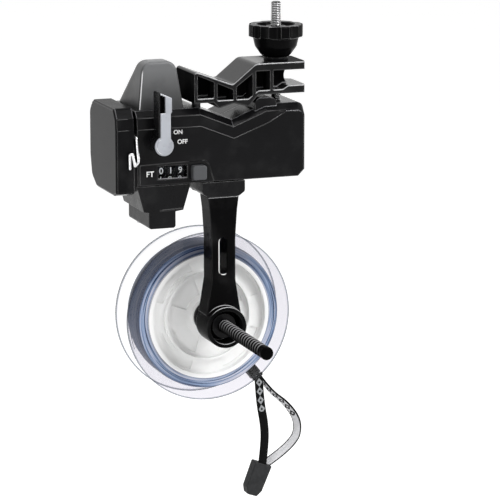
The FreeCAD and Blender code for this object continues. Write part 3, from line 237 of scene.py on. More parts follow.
def moulded(name, base, rough, specular=0.4, edge=0.5 * MM, rubbed=None, painted_highlights=(), painted_light=None):
    """Moulded plastic with fine grain, faint flow marks and rounded edges.

    Edges have the shine rubbed. Each painted highlight is a direction, the least that an edge faces it,
    and the pale colour painted on such an edge. A painted-light function, when given, paints light or
    shade into the colour before the painted highlights are laid on it.
    """
    surface = Surface(name, base, rough, specular)
    surface.soft_edges(edge)
    if rubbed:
        surface.put(SHINE, surface.on_edge(specular, rubbed))
    paler = tuple(c + (FLOW_GREY - c) * FLOW_SHARE for c in base)
    darker = tuple(c * FLOW_DARK for c in base)
    colour = surface.ramp(surface.noise(FLOW_SCALE, 4.0), [(0.35, darker), (0.5, base), (0.72, paler)])
    if painted_light:
        colour = painted_light(surface, colour)
    # painted highlights: pale colour painted on the rounded edges that face each direction
    for direction, least, pale in painted_highlights:
        facing = surface.between(surface.facing(direction), least, 0.5 + least / 2)
        colour = surface.mixed(surface.product(surface.on_edge(), facing), colour, pale)
    surface.put("Base Color", colour)
    wear = surface.noise(WEAR_SCALE, 5.0)
    surface.put("Roughness", surface.spread(wear, rough * SMOOTHER, rough * DULLER))
    surface.bump(surface.noise(GRAIN_SCALE, 2.0), 0.03 * MM, 0.6)
    return surface


def slot_glint(surface, colour):
    """Painted highlight along the left edge and the foot of the arm's slot."""
    foot, bend = at(AXLE_X, 0, SLOT_FOOT), at(AXLE_X, 0, SLOT_FOOT + SLOT_ROUND)
    top, below_top = at(0, 0, SLOT_TOP), at(0, 0, SLOT_TOP - 1.0)
    x, _, z = surface.parts(surface.coords)
    left_of = surface.between(x, foot.x + 0.5 * MM, foot.x + 0.6 * MM, 1.0, 0.0)
    right_of = surface.between(x, foot.x - 3.4 * MM, foot.x - 3.3 * MM)
    under_top = surface.between(z, top.z, below_top.z)
    over_foot = surface.between(z, foot.z - 1.0 * MM, bend.z)
    zone = surface.product(surface.product(left_of, right_of), surface.product(under_top, over_foot))
    upright = surface.product(zone, surface.between(surface.facing(RIGHT_FRONT), 0.88, 0.95))
    under_bend = surface.between(z, bend.z + 0.5 * MM, bend.z + 1.0 * MM, 1.0, 0.0)
    near_foot = surface.between(z, foot.z - 2.5 * MM, foot.z - 2.0 * MM)
    sill = surface.between(surface.facing(UP_FRONT), 0.85, 0.93)
    arc = surface.product(under_bend, near_foot, sill)
    return surface.mixed(surface.math("MAXIMUM", upright, arc), colour, (0.9, 0.9, 0.9))


def matt_top(surface, level):
    """Leaves only this share of the shine on faces that face straight up."""
    up = surface.parts(surface.true_normal())[2]
    surface.dim(surface.between(up, 0.90, 0.98, 1.0, level))
    return surface


def dome_shade(surface, colour):
    """Painted shade: paler towards the top and on the front than at the foot and on the left.

    With a painted highlight on the ridge between the left side and the front.
    """
    low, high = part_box("dome_cover")
    z = surface.parts(surface.coords)[2]
    right = surface.parts(surface.true_normal())[0]
    height = surface.between(z, low.z, high.z, 0.30, 1.15)
    side = surface.between(right, -0.35, -0.75, 1.0, 0.62)
    # painted shade towards the foot and on the left side
    colour = surface.mixed(surface.product(height, side), (0.004, 0.004, 0.004), colour)
    # painted highlight on the front-left ridge, below the top
    ridge_highlight = surface.between(surface.facing(LEFT_FRONT), 0.980, 0.998)
    lower = surface.between(z, high.z - 7 * MM, high.z - 4 * MM, 1.0, 0.0)
    return surface.mixed(surface.product(ridge_highlight, lower), colour, (0.80, 0.80, 0.81))


def jaw_plastic(name, base):
    """Moulded jaw: glossy ribs and slopes, with painted highlights on edges that face up.

    Painted shade takes the shine out of its pockets, its left end and its flat top.
    """
    surface = moulded(name, base, 0.17, 0.13, edge=1.4 * MM, rubbed=0.35,
                      painted_highlights=[(UP_FRONT, 0.75, (0.42, 0.42, 0.43))])
    right, _, up = surface.parts(surface.true_normal())
    x, y, z = surface.parts(surface.coords)
    upright = surface.between(up, 0.5, 0.6, 1.0, 0.0)
    pocket = surface.product(upright, surface.between(y, JAW_FRONT.y + 0.9 * MM, JAW_FRONT.y + 1.5 * MM))
    left_end = surface.between(right, -0.97, -0.85, 1.0, 0.0)
    level = surface.between(up, 0.985, 0.998)
    high = surface.between(z, JAW_FRONT.z - 0.5 * MM, JAW_FRONT.z - 0.2 * MM)
    right_half = surface.between(x, JAW_FRONT.x - 26 * MM, JAW_FRONT.x - 18 * MM)
    flat_top = surface.product(level, high, right_half)
    # painted shade in the pockets, on the left end and on the flat top at the right
    painted_shade = surface.math("MAXIMUM", surface.math("MAXIMUM", pocket, left_end), flat_top)
    surface.dim(surface.between(painted_shade, 0.0, 1.0, 1.0, POCKET_SHINE))
    return surface


def rubbed_thread(surface, node, across, depth, groove_shade, crest, plain=0.0, toward=None):
    """Painted shade in a thread's groove and a painted highlight on its crest.

    It stays dark over the plain length at the front, and the painted highlight lies on crests
    that face the given direction.
    """
    low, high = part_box(node)
    top = (high.x - low.x) / 2
    out = surface.from_axis((low + high) / 2, across)
    pale = surface.between(out, top - 0.25 * depth, top - 0.02 * depth)
    if plain:
        y = surface.parts(surface.coords)[1]
        pale = surface.product(pale, surface.between(y, low.y + plain - 0.6 * MM, low.y + plain))
    if toward:
        pale = surface.product(pale, surface.between(surface.facing(toward), -0.5, 0.9))
    surface.put("Base Color", surface.mixed(pale, groove_shade, crest))
    return surface


def clear(name, tint, rough, index=1.25, waves=0.2):
    """Clear moulded plastic with faint flow waves."""
    surface = Surface(name, tint, rough, 0.3)
    surface.put("Transmission Weight", 1.0)
    surface.put("IOR", index)
    surface.bump(surface.noise(60.0, 3.0), 0.4 * MM, waves)
    surface.bump(surface.noise(1500.0, 2.0), 0.02 * MM, 2 * waves)
    return surface


def spool_plastic(name, tint, rough):
    """Clear flanges with a grey line at the rim, round a frosted disc."""
    surface = clear(name, tint, rough)
    radius = surface.around_axle()[0]
    frosted = surface.between(radius, FROST_R, FROST_R + 0.6 * MM, 1.0, 0.0)
    frost = surface.ramp(surface.noise(70.0, 5.0), FROST_STOPS)
    rim = surface.between(radius, RIM_R, RIM_R + 0.4 * MM)
    flange = surface.mixed(rim, tint, RIM_GREY)
    surface.put("Base Color", surface.mixed(frosted, flange, frost))
    surface.put("Roughness", surface.between(frosted, 0.0, 1.0, rough, FROSTED_ROUGH))
    surface.put("Transmission Weight", surface.between(frosted, 0.0, 1.0, 1.0, FROSTED_CLEAR))
    return surface


# ---------------------------------------------------------------- metals, line, webbing, rubber and ink
def metal(name, base, rough):
    """Bright metal with fine streaks."""
    surface = Surface(name, base, rough, metallic=1.0)
    surface.soft_edges(0.3 * MM)
    streaks = surface.noise(900.0, 4.0)
    surface.put("Roughness", surface.spread(streaks, rough * 0.7, rough * 1.4))
    darker = tuple(c * 0.86 for c in base)
    surface.put("Base Color", surface.ramp(surface.noise(120.0), [(0.35, darker), (0.65, base)]))
    surface.bump(streaks, 0.02 * MM, 0.5)
    return surface


def oxide(name, base):
    """Black steel with slight wear."""
    surface = Surface(name, base, 0.38, metallic=0.35)
    surface.soft_edges(0.2 * MM)
    worn = tuple(c + 0.10 for c in base)
    surface.put("Base Color", surface.ramp(surface.noise(700.0, 5.0), [(0.45, base), (0.75, worn)]))
    surface.put("Roughness", surface.spread(surface.noise(1200.0), 0.28, 0.5))
    surface.bump(surface.noise(2500.0), 0.03 * MM, 0.6)
    return surface


LINE_STREAKS = [(0.36, (0.018, 0.040, 0.095)), (0.43, (0.16, 0.26, 0.42)), (0.52, (0.46, 0.62, 0.82)),
                (0.62, (0.95, 0.98, 1.0))]
LINE_PALE = (0.78, 0.85, 0.92)
LINE_NAVY = (0.012, 0.025, 0.07)


def wound_line(name):
    """Turns of blue nylon line: streaks round the axle, dark at the outside, pale at the barrel.

    Painted shade darkens the pack towards its top.
    """
    surface = Surface(name, (0.10, 0.24, 0.42), 0.35, 0.10)
    radius, east, north, depth = surface.around_axle()
    turns = surface.math("ADD", radius, surface.product(depth, 0.8))

    def streaks(scale, wander, detail):
        """Noise that is drawn out along the turns."""
        place = surface.node("ShaderNodeCombineXYZ", X=surface.product(east, wander),
                             Y=surface.product(turns, scale), Z=surface.product(north, wander))
        return surface.node("ShaderNodeTexNoise", Vector=place.outputs[0], Scale=1.0, Detail=detail,
                            Roughness=0.6).outputs["Fac"]

    coarse = surface.ramp(streaks(900.0, 0.9, 2.0), LINE_STREAKS)
    pale = surface.between(radius, PACK_IN, PACK_IN + 2.2 * MM, 0.85, 0.0)
    outer = surface.between(radius, PACK_OUT - 0.9 * MM, PACK_OUT - 0.4 * MM)
    off_middle = surface.math("ABSOLUTE", surface.math("SUBTRACT", depth, PACK_MIDDLE))
    face = surface.between(off_middle, PACK_HALF - 1.2 * MM, PACK_HALF - 0.6 * MM)
    around = surface.product(outer, surface.between(face, 0.0, 1.0, 0.88, 0.95))
    # darker at the outside, and painted shade towards the top of the pack
    navy = surface.math("MAXIMUM", around, surface.between(north, 0.45, 1.0, 0.0, 0.72))
    surface.put("Base Color", surface.mixed(navy, surface.mixed(pale, coarse, LINE_PALE), LINE_NAVY))
    surface.bump(streaks(2600.0, 2.0, 1.0), 0.06 * MM, 0.5)
    return surface


MARK_STEP, MARK_HALF = 5.6, 2.1           # woven lozenges on the webbing, in millimetres
MARK_SLANT = 2.1                          # and how fast they narrow to their points


def webbing(name, base, light, mark=None):
    """Flat woven webbing, from UV lengths in millimetres, with a row of lozenges in the mark's colour."""
    surface = Surface(name, base, 0.82, 0.08)
    uv = surface.node("ShaderNodeTexCoord").outputs["UV"]
    threads = []
    for direction, scale in (("X", 1.5), ("Y", 1.1)):
        wave = surface.node("ShaderNodeTexWave", Vector=uv, Scale=scale, Distortion=0.35, Detail=1.0)
        wave.bands_direction = direction
        threads.append(wave.outputs["Fac"])
    weave = surface.product(*threads)
    colour = surface.ramp(weave, [(0.05, base), (0.8, light)])
    if mark:
        across, along, _ = surface.parts(uv)
        across = surface.math("DIVIDE", surface.math("ABSOLUTE", across), MARK_HALF)
        step = surface.math("FRACT", surface.math("DIVIDE", along, MARK_STEP))
        along = surface.math("ABSOLUTE", surface.math("SUBTRACT", step, 0.5))
        reach = surface.math("ADD", across, surface.product(along, MARK_SLANT))
        inside = surface.between(reach, 0.95, 1.05, 1.0, 0.0)
        outside_hole = surface.between(reach, 0.30, 0.42)
        colour = surface.mixed(surface.product(inside, outside_hole), colour, mark)
    surface.put("Base Color", colour)
    surface.bump(weave, 0.12 * MM, 0.9)
    return surface


def rubber(name, base):
    surface = Surface(name, base, 0.72, 0.3)
    surface.soft_edges(0.4 * MM)
    surface.put("Roughness", surface.spread(surface.noise(500.0), 0.62, 0.85))
    surface.bump(surface.noise(2600.0, 3.0), 0.06 * MM, 0.8)
    return surface


def ink(name, base):
    surface = Surface(name, base, 0.55, 0.4)
    thin = tuple(c * 0.86 for c in base)
    surface.put("Base Color", surface.ramp(surface.noise(900.0, 4.0), [(0.3, thin), (0.6, base)]))
    return surface


# ---------------------------------------------------------------- the part's finishes
BLACK = (0.0045, 0.0045, 0.005)
DEEP_BLACK = (0.003, 0.003, 0.0032)
WEB_DARK, WEB_DARK_LIT = (0.002, 0.002, 0.002), (0.007, 0.007, 0.0075)
WEB_LIT = (0.84, 0.84, 0.85)
# Painted highlights: a direction, the least that an edge faces it, and the pale colour painted there
PAINTED_UP_HIGHLIGHTS = [(UP_FRONT, 0.75, (0.20, 0.20, 0.21))]
DOME_PAINTED_HIGHLIGHTS = [(UP_FRONT, 0.80, (0.40, 0.40, 0.41))]
ARM_PAINTED_HIGHLIGHTS = [(UP_FRONT, 0.78, (0.50, 0.50, 0.51))]
SILVER_PAINTED_HIGHLIGHTS = [(UP_FRONT, 0.75, (0.92, 0.92, 0.93)), (LEFT_BELOW, 0.85, (0.92, 0.92, 0.93))]
FINISHES = {
    "gloss_black": moulded("gloss_black", BLACK, 0.17, 0.095, 0.9 * MM, 0.4, PAINTED_UP_HIGHLIGHTS),
    "satin_black": moulded("satin_black", (0.005, 0.005, 0.0055), 0.28, 0.10, 0.6 * MM, 0.35),
    "dark_grey": moulded("dark_grey", (0.130, 0.132, 0.135), 0.34, 0.2, 0.9 * MM, 0.8, DOME_PAINTED_HIGHLIGHTS,
                         dome_shade),
    "silver_plastic": moulded("silver_plastic", (0.36, 0.375, 0.41), 0.30, 0.4, 0.6 * MM, 1.0,
                              SILVER_PAINTED_HIGHLIGHTS),
    "button_grey": moulded("button_grey", (0.062, 0.064, 0.068), 0.5, 0.2, 0.6 * MM, 0.5),
    "black_steel": oxide("black_steel", (0.06, 0.06, 0.062)),
    "steel": metal("steel", (0.62, 0.62, 0.64), 0.25),
    "spring_steel": metal("spring_steel", (0.66, 0.66, 0.67), 0.18),
    "window_clear": clear("window_clear", (0.9, 0.92, 0.94), 0.02, index=1.08, waves=0.03),
    "clear_spool": spool_plastic("clear_spool", (0.93, 0.93, 0.94), 0.03),
    "blue_line": wound_line("blue_line"),
    "gear_white": moulded("gear_white", (0.72, 0.71, 0.66), 0.45),
    "wheel_black": moulded("wheel_black", (0.008, 0.008, 0.009), 0.5, 0.1, 0.2 * MM),
    "rubber_black": rubber("rubber_black", (0.010, 0.010, 0.010)),
    "webbing_black": webbing("webbing_black", WEB_DARK, WEB_DARK_LIT),
    "tab_grey": rubber("tab_grey", (0.012, 0.0125, 0.0135)),
}
OWN_FINISHES = {
    "clamp_jaw": jaw_plastic("jaw_black", BLACK),
    "spool_front_half": spool_plastic("clear_spool_front", (0.73, 0.72, 0.765), 0.03),
    "clamp_washer": FINISHES["satin_black"],
    "end_cap": matt_top(moulded("cap_black", BLACK, 0.17, 0.055, 0.9 * MM, 0.4, PAINTED_UP_HIGHLIGHTS), CAP_TOP_SHINE),
    "clamp_knob": moulded("knob_black", DEEP_BLACK, 0.2, 0.02, 0.7 * MM, 0.4, PAINTED_UP_HIGHLIGHTS),
    "spool_arm": moulded("arm_black", DEEP_BLACK, 0.18, 0.012, 1.0 * MM, 0.1, ARM_PAINTED_HIGHLIGHTS, slot_glint),
}

for part in frame["record"]["subparts"]:
    mesh = nodes[part["node"]].data
    mesh.materials.clear()
    mesh.materials.append(OWN_FINISHES.get(part["node"], FINISHES[part["material_slot"]]).material)


# ---------------------------------------------------------------- mesh helpers
def add_object(name, data):
    made = bpy.data.objects.new(name, data)
    bpy.context.scene.collection.objects.link(made)
    return made


def skin(name, rings, finish):
    """A smooth skin over rings of points, closed by a flat face at each end."""
    around = len(rings[0])
    last = (len(rings) - 1) * around
    faces = []
    for start in range(0, last, around):
        for k in range(around):
            n = (k + 1) % around
            faces.append((start + k, start + n, start + around + n, start + around + k))
    faces.append(tuple(reversed(range(around))))
    faces.append(tuple(last + k for k in range(around)))
    mesh = bpy.data.meshes.new(name)
    mesh.from_pydata([tuple(point) for ring in rings for point in ring], [], faces)
    mesh.materials.append(finish.material)
    for polygon in mesh.polygons:
        polygon.use_smooth = True
    mesh.update()
    return add_object(name, mesh)


def curve_mesh(name, curve):
    """The mesh that a curve or a text makes."""
    source = add_object(name, curve)
    bpy.context.view_layer.update()
    mesh = bpy.data.meshes.new_from_object(source.evaluated_get(bpy.context.evaluated_depsgraph_get()))
    bpy.data.objects.remove(source)
    return mesh


def tangents(line):
    """The direction of a line at each of its points."""
    last = len(line) - 1
    return [(line[min(i + 1, last)] - line[max(i - 1, 0)]).normalized() for i in range(len(line))]


def route_line(name, points):
    """Points along the smooth NURBS line of a listed route."""
    curve = bpy.data.curves.new(name, "CURVE")
    curve.dimensions = "3D"
    curve.resolution_u = 24
    spline = curve.splines.new("NURBS")
    spline.points.add(len(points) - 1)
    for control, point in zip(spline.points, points):
        control.co = (*point, 1)
    spline.order_u = 3
    spline.use_endpoint_u = True
    return [vertex.co.copy() for vertex in curve_mesh(name, curve).vertices]


def tube(name, line, radius, finish, around=14):
    """Round wire along a line of points, with flat ends."""
    rings = []
    side = Vector((0.3, -0.2, 1.0))       # any direction that the line never takes
    for point, tangent in zip(line, tangents(line)):
        side = (side - tangent * side.dot(tangent)).normalized()
        other = tangent.cross(side)
        angles = [2 * math.pi * k / around for k in range(around)]
        rings.append([point + (side * math.cos(a) + other * math.sin(a)) * radius for a in angles])
    return skin(name, rings, finish)


# ---------------------------------------------------------------- threads
AXLE_DEPTH, AXLE_PITCH = 1.2 * MM, 3.6 * MM
AXLE_PLAIN = 5.2 * MM, 9.0 * MM           # lengths without a thread at the axle's front and rear
STUD_DEPTH, STUD_PITCH = 0.55 * MM, 1.0 * MM
STUD_HIGHLIGHT_DEPTH = 0.6 * MM                       # depth to which the stud's crest gets a painted highlight
PROFILE_GAIN, PROFILE_LOSS = 1.45, 0.2    # flatten a wave's crest and trough
RUN_OUT = 0.3                             # of a pitch, over which the thread dies away
TIP_R, TIP_LENGTH = 0.72, 0.18            # chamfered ends, as shares of the radius
# Threads with painted shade in the groove and a painted highlight on the crest
THREAD_BLACK = rubbed_thread(moulded("thread_black", BLACK, 0.18, 0.008, 0.2 * MM), "threaded_axle",
                             (1, 0, 1), AXLE_DEPTH, (0.002, 0.002, 0.002), (0.29, 0.29, 0.295),
                             plain=AXLE_PLAIN[0], toward=(0.35, -0.1, 0.93))
STUD_STEEL = rubbed_thread(metal("stud_steel", (0.40, 0.40, 0.41), 0.22), "clamp_stud", (1, 1, 0),
                           STUD_HIGHLIGHT_DEPTH, (0.10, 0.10, 0.10), (0.72, 0.72, 0.73))


def held(value):
    return min(1.0, max(0.0, value))


def helical_thread(name, start, along, length, crest, depth, pitch, finish, plain=(0.0, 0.0), steps=12,
                   around=40):
    """A threaded rod: its radius follows the thread's profile on a grid of length and angle."""
    side = Vector((1, 0, 0))
    across = along.cross(side)
    root = crest - depth
    rows = int(length / pitch * steps)
    rings = []
    for i in range(rows + 1):
        run = length * i / rows
        ring = []
        for k in range(around):
            angle = 2 * math.pi * k / around
            wave = 0.5 - 0.5 * math.cos(2 * math.pi * ((run / pitch - k / around) % 1.0))
            height = held(PROFILE_GAIN * wave - PROFILE_LOSS)
            for edge, space in ((run, plain[0]), (length - run, plain[1])):
                height += (1 - height) * held((space - edge) / (RUN_OUT * pitch))
            tip = TIP_R + (1 - TIP_R) * min(run, length - run) / (TIP_LENGTH * crest)
            radius = (root + (crest - root) * height) * min(1.0, tip)
            ring.append(start + along * run + (side * math.cos(angle) + across * math.sin(angle)) * radius)
        rings.append(ring)
    return skin(name, rings, finish)


def threaded_parts():
    low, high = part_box("threaded_axle")
    front = Vector(((low.x + high.x) / 2, low.y, (low.z + high.z) / 2))
    axle = helical_thread("axle_thread", front, Vector((0, 1, 0)), high.y - low.y, (high.x - low.x) / 2,
                          AXLE_DEPTH, AXLE_PITCH, THREAD_BLACK, plain=AXLE_PLAIN)
    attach(axle, "axle")
    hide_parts("threaded_axle")
    low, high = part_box("clamp_stud")
    foot = Vector(((low.x + high.x) / 2, (low.y + high.y) / 2, low.z))
    stud = helical_thread("stud_thread", foot, Vector((0, 0, 1)), high.z - low.z, (high.x - low.x) / 2,
                          STUD_DEPTH, STUD_PITCH, STUD_STEEL, steps=8, around=32)
    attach(stud, "housing")
    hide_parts("clamp_stud")


# ---------------------------------------------------------------- wire guide and crease beads
GUIDE_R = 0.82 * MM
GUIDE_PATH = [(14.6, 8.0, 28.4), (12.9, 8.0, 28.4), (11.7, 8.0, 28.4), (11.7, 6.6, 28.4),
              (11.7, -0.4, 28.4), (11.7, -1.7, 28.4), (11.75, -1.75, 26.9), (12.3, -2.35, 16.0),
              (12.4, -2.4, 14.6), (11.5, -2.5, 13.7), (10.9, -2.55, 13.1), (10.2, -2.6, 12.4),
              (10.0, -2.65, 13.6), (9.1, -2.95, 18.0), (8.9, -3.0, 19.4), (8.2, -2.8, 19.3),
              (7.3, -2.6, 19.2), (7.35, -2.5, 17.8), (7.5, -2.2, 10.6)]
BEAD_R = 0.38 * MM
CREASES = {
    "bead_upper": [(12.7, 0.8, 38.8), (50.5, 0.8, 38.8), (70.3, 0.8, 30.8), (90.5, 0.8, 38.8),
                   (102.0, 0.8, 38.9)],
    "bead_lower": [(12.7, 0.0, 32.4), (50.5, 0.0, 32.4), (70.3, 0.0, 24.4), (91.5, 0.0, 32.4),
                   (102.0, 0.0, 38.4)],
    "bead_cap_upper": [(1.0, 0.8, 38.8), (10.7, 0.8, 38.8)],
    "bead_cap_lower": [(1.0, 0.0, 32.4), (10.7, 0.0, 32.4)],
}
RIDGE_BLACK = moulded("ridge_black", (0.006, 0.006, 0.0065), 0.2)


def wire_and_beads():
    line = route_line("guide_route", [at(*p) for p in GUIDE_PATH])
    guide = tube("guide_wire", line, GUIDE_R, FINISHES["spring_steel"])
    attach(guide, "housing")
    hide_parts("wire_guide")
    for name, points in CREASES.items():
        bead = tube(name, [at(*p) for p in points], BEAD_R, RIDGE_BLACK, around=10)
        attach(bead, "housing")


# ---------------------------------------------------------------- lettering
INK_WHITE = ink("ink_white", (0.82, 0.82, 0.82))
BOLDER = 0.012                            # of the letters' size, added to each stroke's side
WORD_DEPTH, WORD_LIFT = 0.08, 0.02        # thickness, and its middle in front of the face, in millimetres
FRONT_WORDS = (("mark_on", "ON", 3.4, (36.8, 0.0, 29.9)),
               ("mark_off", "OFF", 3.5, (39.4, 0.0, 24.3)),
               ("mark_ft", "FT", 4.4, (20.2, 0.5, 6.6)))
DRUMS = (("number_wheel_hundreds", "counter_hundreds", 0),
         ("number_wheel_tens", "counter_tens", 1),
         ("number_wheel_units", "counter_units", 9))
DIGIT_SIZE = 5.0 * MM
DIGIT_DEPTH, DIGIT_LIFT = 0.06 * MM, 0.02 * MM
DIGIT_STRIP = 0.4 * MM                    # a digit bends round its drum in strips of this height
DIGIT_TURN = math.radians(36)


def text_mesh(name, words, size, depth):
    """Words as a thin mesh in the XY plane, centred on the origin."""
    curve = bpy.data.curves.new(name, "FONT")
    curve.body = words
    curve.size = size
    curve.extrude = depth / 2
    curve.offset = size * BOLDER
    curve.align_x = "CENTER"
    curve.align_y = "CENTER"
    mesh = curve_mesh(name + "_source", curve)
    mesh.materials.clear()
    mesh.materials.append(INK_WHITE.material)
    return add_object(name, mesh)


def front_words():
    for name, words, size, (x, y, z) in FRONT_WORDS:
        made = text_mesh(name, words, size * MM, WORD_DEPTH * MM)
        made.data.transform(Matrix.Rotation(math.radians(90), 4, "X"))
        made.data.transform(Matrix.Translation(at(x, y - WORD_LIFT, z)))
        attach(made, "housing")


def slice_level(mesh, step):
    """Cuts a flat mesh into level strips, so that it can follow a drum."""
    work = bmesh.new()
    work.from_mesh(mesh)
    bmesh.ops.triangulate(work, faces=work.faces[:])
    heights = [vertex.co.y for vertex in work.verts]
    cut = min(heights) + step
    while cut < max(heights):
        everything = work.verts[:] + work.edges[:] + work.faces[:]
        bmesh.ops.bisect_plane(work, geom=everything, plane_co=(0, cut, 0), plane_no=(0, 1, 0))
        cut += step
    work.to_mesh(mesh)
    work.free()


def drum_digits():
    """Ten digits round each number wheel; the reading faces the window."""
    for node, body, shown in DRUMS:
        low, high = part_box(node)
        centre = (low + high) / 2
        radius = (high.z - low.z) / 2 + DIGIT_LIFT
        for digit in range(10):
            made = text_mesh(f"{node}_{digit}", str(digit), DIGIT_SIZE, DIGIT_DEPTH)
            slice_level(made.data, DIGIT_STRIP)
            middle = (shown - digit) * DIGIT_TURN
            for vertex in made.data.vertices:
                angle = middle + vertex.co.y / radius
                reach = radius + vertex.co.z
                vertex.co = Vector((centre.x + vertex.co.x, centre.y - reach * math.cos(angle),
                                    centre.z + reach * math.sin(angle)))
            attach(made, body)


# ---------------------------------------------------------------- webbing loop
BAND_W, BAND_T = 5.4 * MM, 1.2 * MM
STRAP_LEFT = [(105.6, -132.2), (106.4, -146.5), (109.6, -163.0), (109.4, -176.0), (107.6, -189.0)]
STRAP_RIGHT = [(105.6, -129.6), (113.6, -141.6), (125.0, -150.6), (133.4, -163.6), (129.6, -177.2),
               (110.6, -187.9)]
STRAP_LEFT_Y, STRAP_RIGHT_Y = 54.0, 57.7
LEFT_TURNS = math.pi / 2, math.pi / 2
RIGHT_TURNS = math.radians(-12), math.radians(-62)
FLAT_EDGE, ROUND_EDGE = 0.12, 0.03        # where the flat side ends and the edge is round, of the width
ROUND_RISE = 0.75                         # of half the thickness there
WEBBINGS = (FINISHES["webbing_black"],
            webbing("webbing_white", (0.62, 0.62, 0.64), WEB_LIT),
            webbing("webbing_marked", WEB_DARK, WEB_DARK_LIT, (0.34, 0.35, 0.36)),
            webbing("webbing_striped", (0.60, 0.60, 0.62), WEB_LIT, (0.02, 0.02, 0.02)))
PLAIN, WHITE, MARKED, STRIPED = range(4)
FRONT_SIDE, BACK_SIDE = 0, 5              # the flat sides among the strips of the webbing's section
LEFT_MARKED = 21 * MM                     # lengths with a woven pattern, from the ferrule
RIGHT_STRIPED = 38 * MM


def left_side(strip, run):
    return MARKED if strip == FRONT_SIDE and run < LEFT_MARKED else PLAIN


def right_side(strip, run):
    if strip != BACK_SIDE:
        return PLAIN
    return STRIPED if run < RIGHT_STRIPED else WHITE


def band_section():
    """The webbing's section, from one end of its front side round to the other."""
    half, rise = BAND_W / 2, BAND_T / 2
    flat, bend, low = half - FLAT_EDGE * BAND_W, half - ROUND_EDGE * BAND_W, rise * ROUND_RISE
    return [(-flat, rise), (flat, rise), (bend, low), (half, 0), (bend, -low),
            (flat, -rise), (-flat, -rise), (-bend, -low), (-half, 0), (-bend, low)]


def ribbon(name, line, turns, side):
    """Webbing along a line, turning from the first to the last angle; side picks a strip's finish."""
    section = band_section()
    count, last = len(section), len(line) - 1
    rings, lengths = [], [0.0]
    for i, (point, tangent) in enumerate(zip(line, tangents(line))):
        turn = turns[0] + (turns[1] - turns[0]) * i / last
        wide = Vector((-tangent.z * math.sin(turn), math.cos(turn), tangent.x * math.sin(turn)))
        normal = tangent.cross(wide)
        if i:
            lengths.append(lengths[-1] + (point - line[i - 1]).length)
        rings.append([point + wide * a + normal * b for a, b in section])
    made = skin(name, rings, WEBBINGS[PLAIN])
    for finish in WEBBINGS[1:]:
        made.data.materials.append(finish.material)
    layer = made.data.uv_layers.new(name="UVMap")
    for index, polygon in enumerate(made.data.polygons):
        i, strip = divmod(index, count)
        if i < last:
            polygon.material_index = side(strip, lengths[i])
        for loop in polygon.loop_indices:
            row, place = divmod(made.data.loops[loop].vertex_index, count)
            layer.data[loop].uv = (section[place][0] / MM, lengths[row] / MM)
    made.data.update()
    return made


def hanging_loop():
    strands = (("strap_left", "webbing_left", STRAP_LEFT, STRAP_LEFT_Y, LEFT_TURNS, left_side),
               ("strap_right", "webbing_right", STRAP_RIGHT, STRAP_RIGHT_Y, RIGHT_TURNS, right_side))
    for node, name, route, y, turns, side in strands:
        line = route_line(name + "_route", [at(x, y, z) for x, z in route])
        made = ribbon(name, line, turns, side)
        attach(made, "stop")
        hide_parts(node)


threaded_parts()
wire_and_beads()
front_words()
drum_digits()
hanging_loop()

# ---------------------------------------------------------------- floor, light and camera
FLOOR_Z, FLOOR_HALF = -0.42, 8.0
PALE = (0.86, 0.86, 0.86)
FLOOR_GLOW = 0.54                         # added where the camera, glass or a mirror sees the floor
WORLD_LIGHT = 0.5                         # the world's strength as a lamp; it is 1 where it is seen
FOCAL_PX, FRAME_PX = 2800.0, 500.0        # focal length and frame, in the photograph's pixels
SENSOR_MM = 36.0
CAMERA_PLACE = at(-467.6, -1472.4, 292.8)
CAMERA_TARGET = at(80.0, 0.0, -41.1)


def seen(tree):
    """1 for camera, transmission and glossy rays, 0 for the rest."""
    rays = tree.nodes.new("ShaderNodeLightPath")
    level = rays.outputs["Is Camera Ray"]
    for kind in ("Is Transmission Ray", "Is Glossy Ray"):
        most = tree.nodes.new("ShaderNodeMath")
        most.operation = "MAXIMUM"
        tree.links.new(level, most.inputs[0])
        tree.links.new(rays.outputs[kind], most.inputs[1])
        level = most.outputs[0]
    return level


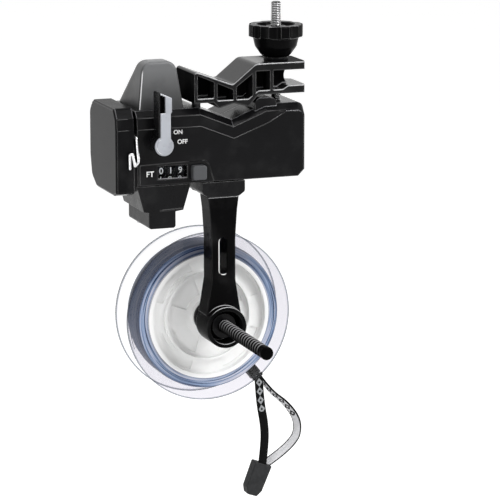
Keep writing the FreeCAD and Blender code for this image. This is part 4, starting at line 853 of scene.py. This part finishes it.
def pale_floor():
    corners = [(x * FLOOR_HALF, y * FLOOR_HALF, FLOOR_Z) for x, y in ((-1, -1), (1, -1), (1, 1), (-1, 1))]
    mesh = bpy.data.meshes.new("floor")
    mesh.from_pydata(corners, [], [(0, 1, 2, 3)])
    surface = Surface("pale_floor", PALE, 0.9, 0.1)
    surface.put("Emission Color", (1, 1, 1, 1))
    surface.put("Emission Strength", surface.product(seen(surface.tree), FLOOR_GLOW))
    mesh.materials.append(surface.material)
    add_object("floor", mesh)


def white_world():
    world = bpy.data.worlds.new("studio")
    bpy.context.scene.world = world
    world.use_nodes = True
    tree = world.node_tree
    background = tree.nodes["Background"]
    background.inputs["Color"].default_value = (1, 1, 1, 1)
    level = tree.nodes.new("ShaderNodeMapRange")
    level.inputs["To Min"].default_value = WORLD_LIGHT
    tree.links.new(seen(tree), level.inputs["Value"])
    tree.links.new(level.outputs[0], background.inputs["Strength"])


def looking(made, place, target):
    """Puts a lamp or the camera at a place and turns it to a target."""
    made.location = place
    made.rotation_euler = (Vector(target) - Vector(place)).to_track_quat("-Z", "Y").to_euler()
    return made


def lamp(name, place, target, size, power):
    light = bpy.data.lights.new(name, "AREA")
    light.shape = "RECTANGLE"
    light.size, light.size_y = size
    light.energy = power
    looking(add_object(name, light), place, target)


def camera():
    data = bpy.data.cameras.new("camera")
    data.sensor_width = SENSOR_MM
    data.lens = FOCAL_PX / FRAME_PX * SENSOR_MM
    data.clip_end = 50.0
    bpy.context.scene.camera = looking(add_object("camera", data), CAMERA_PLACE, CAMERA_TARGET)


pale_floor()
white_world()
lamp("key", (0.62, -0.85, 0.80), (0, 0, -0.03), (0.70, 0.70), 15.0)
lamp("overhead", (-0.05, -0.05, 1.30), (-0.05, 0, -0.03), (0.60, 0.60), 6.0)
lamp("left_strip", (-1.0, -0.75, -0.1), (0, 0, -0.05), (0.10, 0.6), 3.0)
lamp("right_strip", (1.15, -0.25, -0.1), (0, 0, -0.08), (0.08, 0.6), 2.0)
camera()
bpy.context.scene.view_settings.view_transform = "Standard"
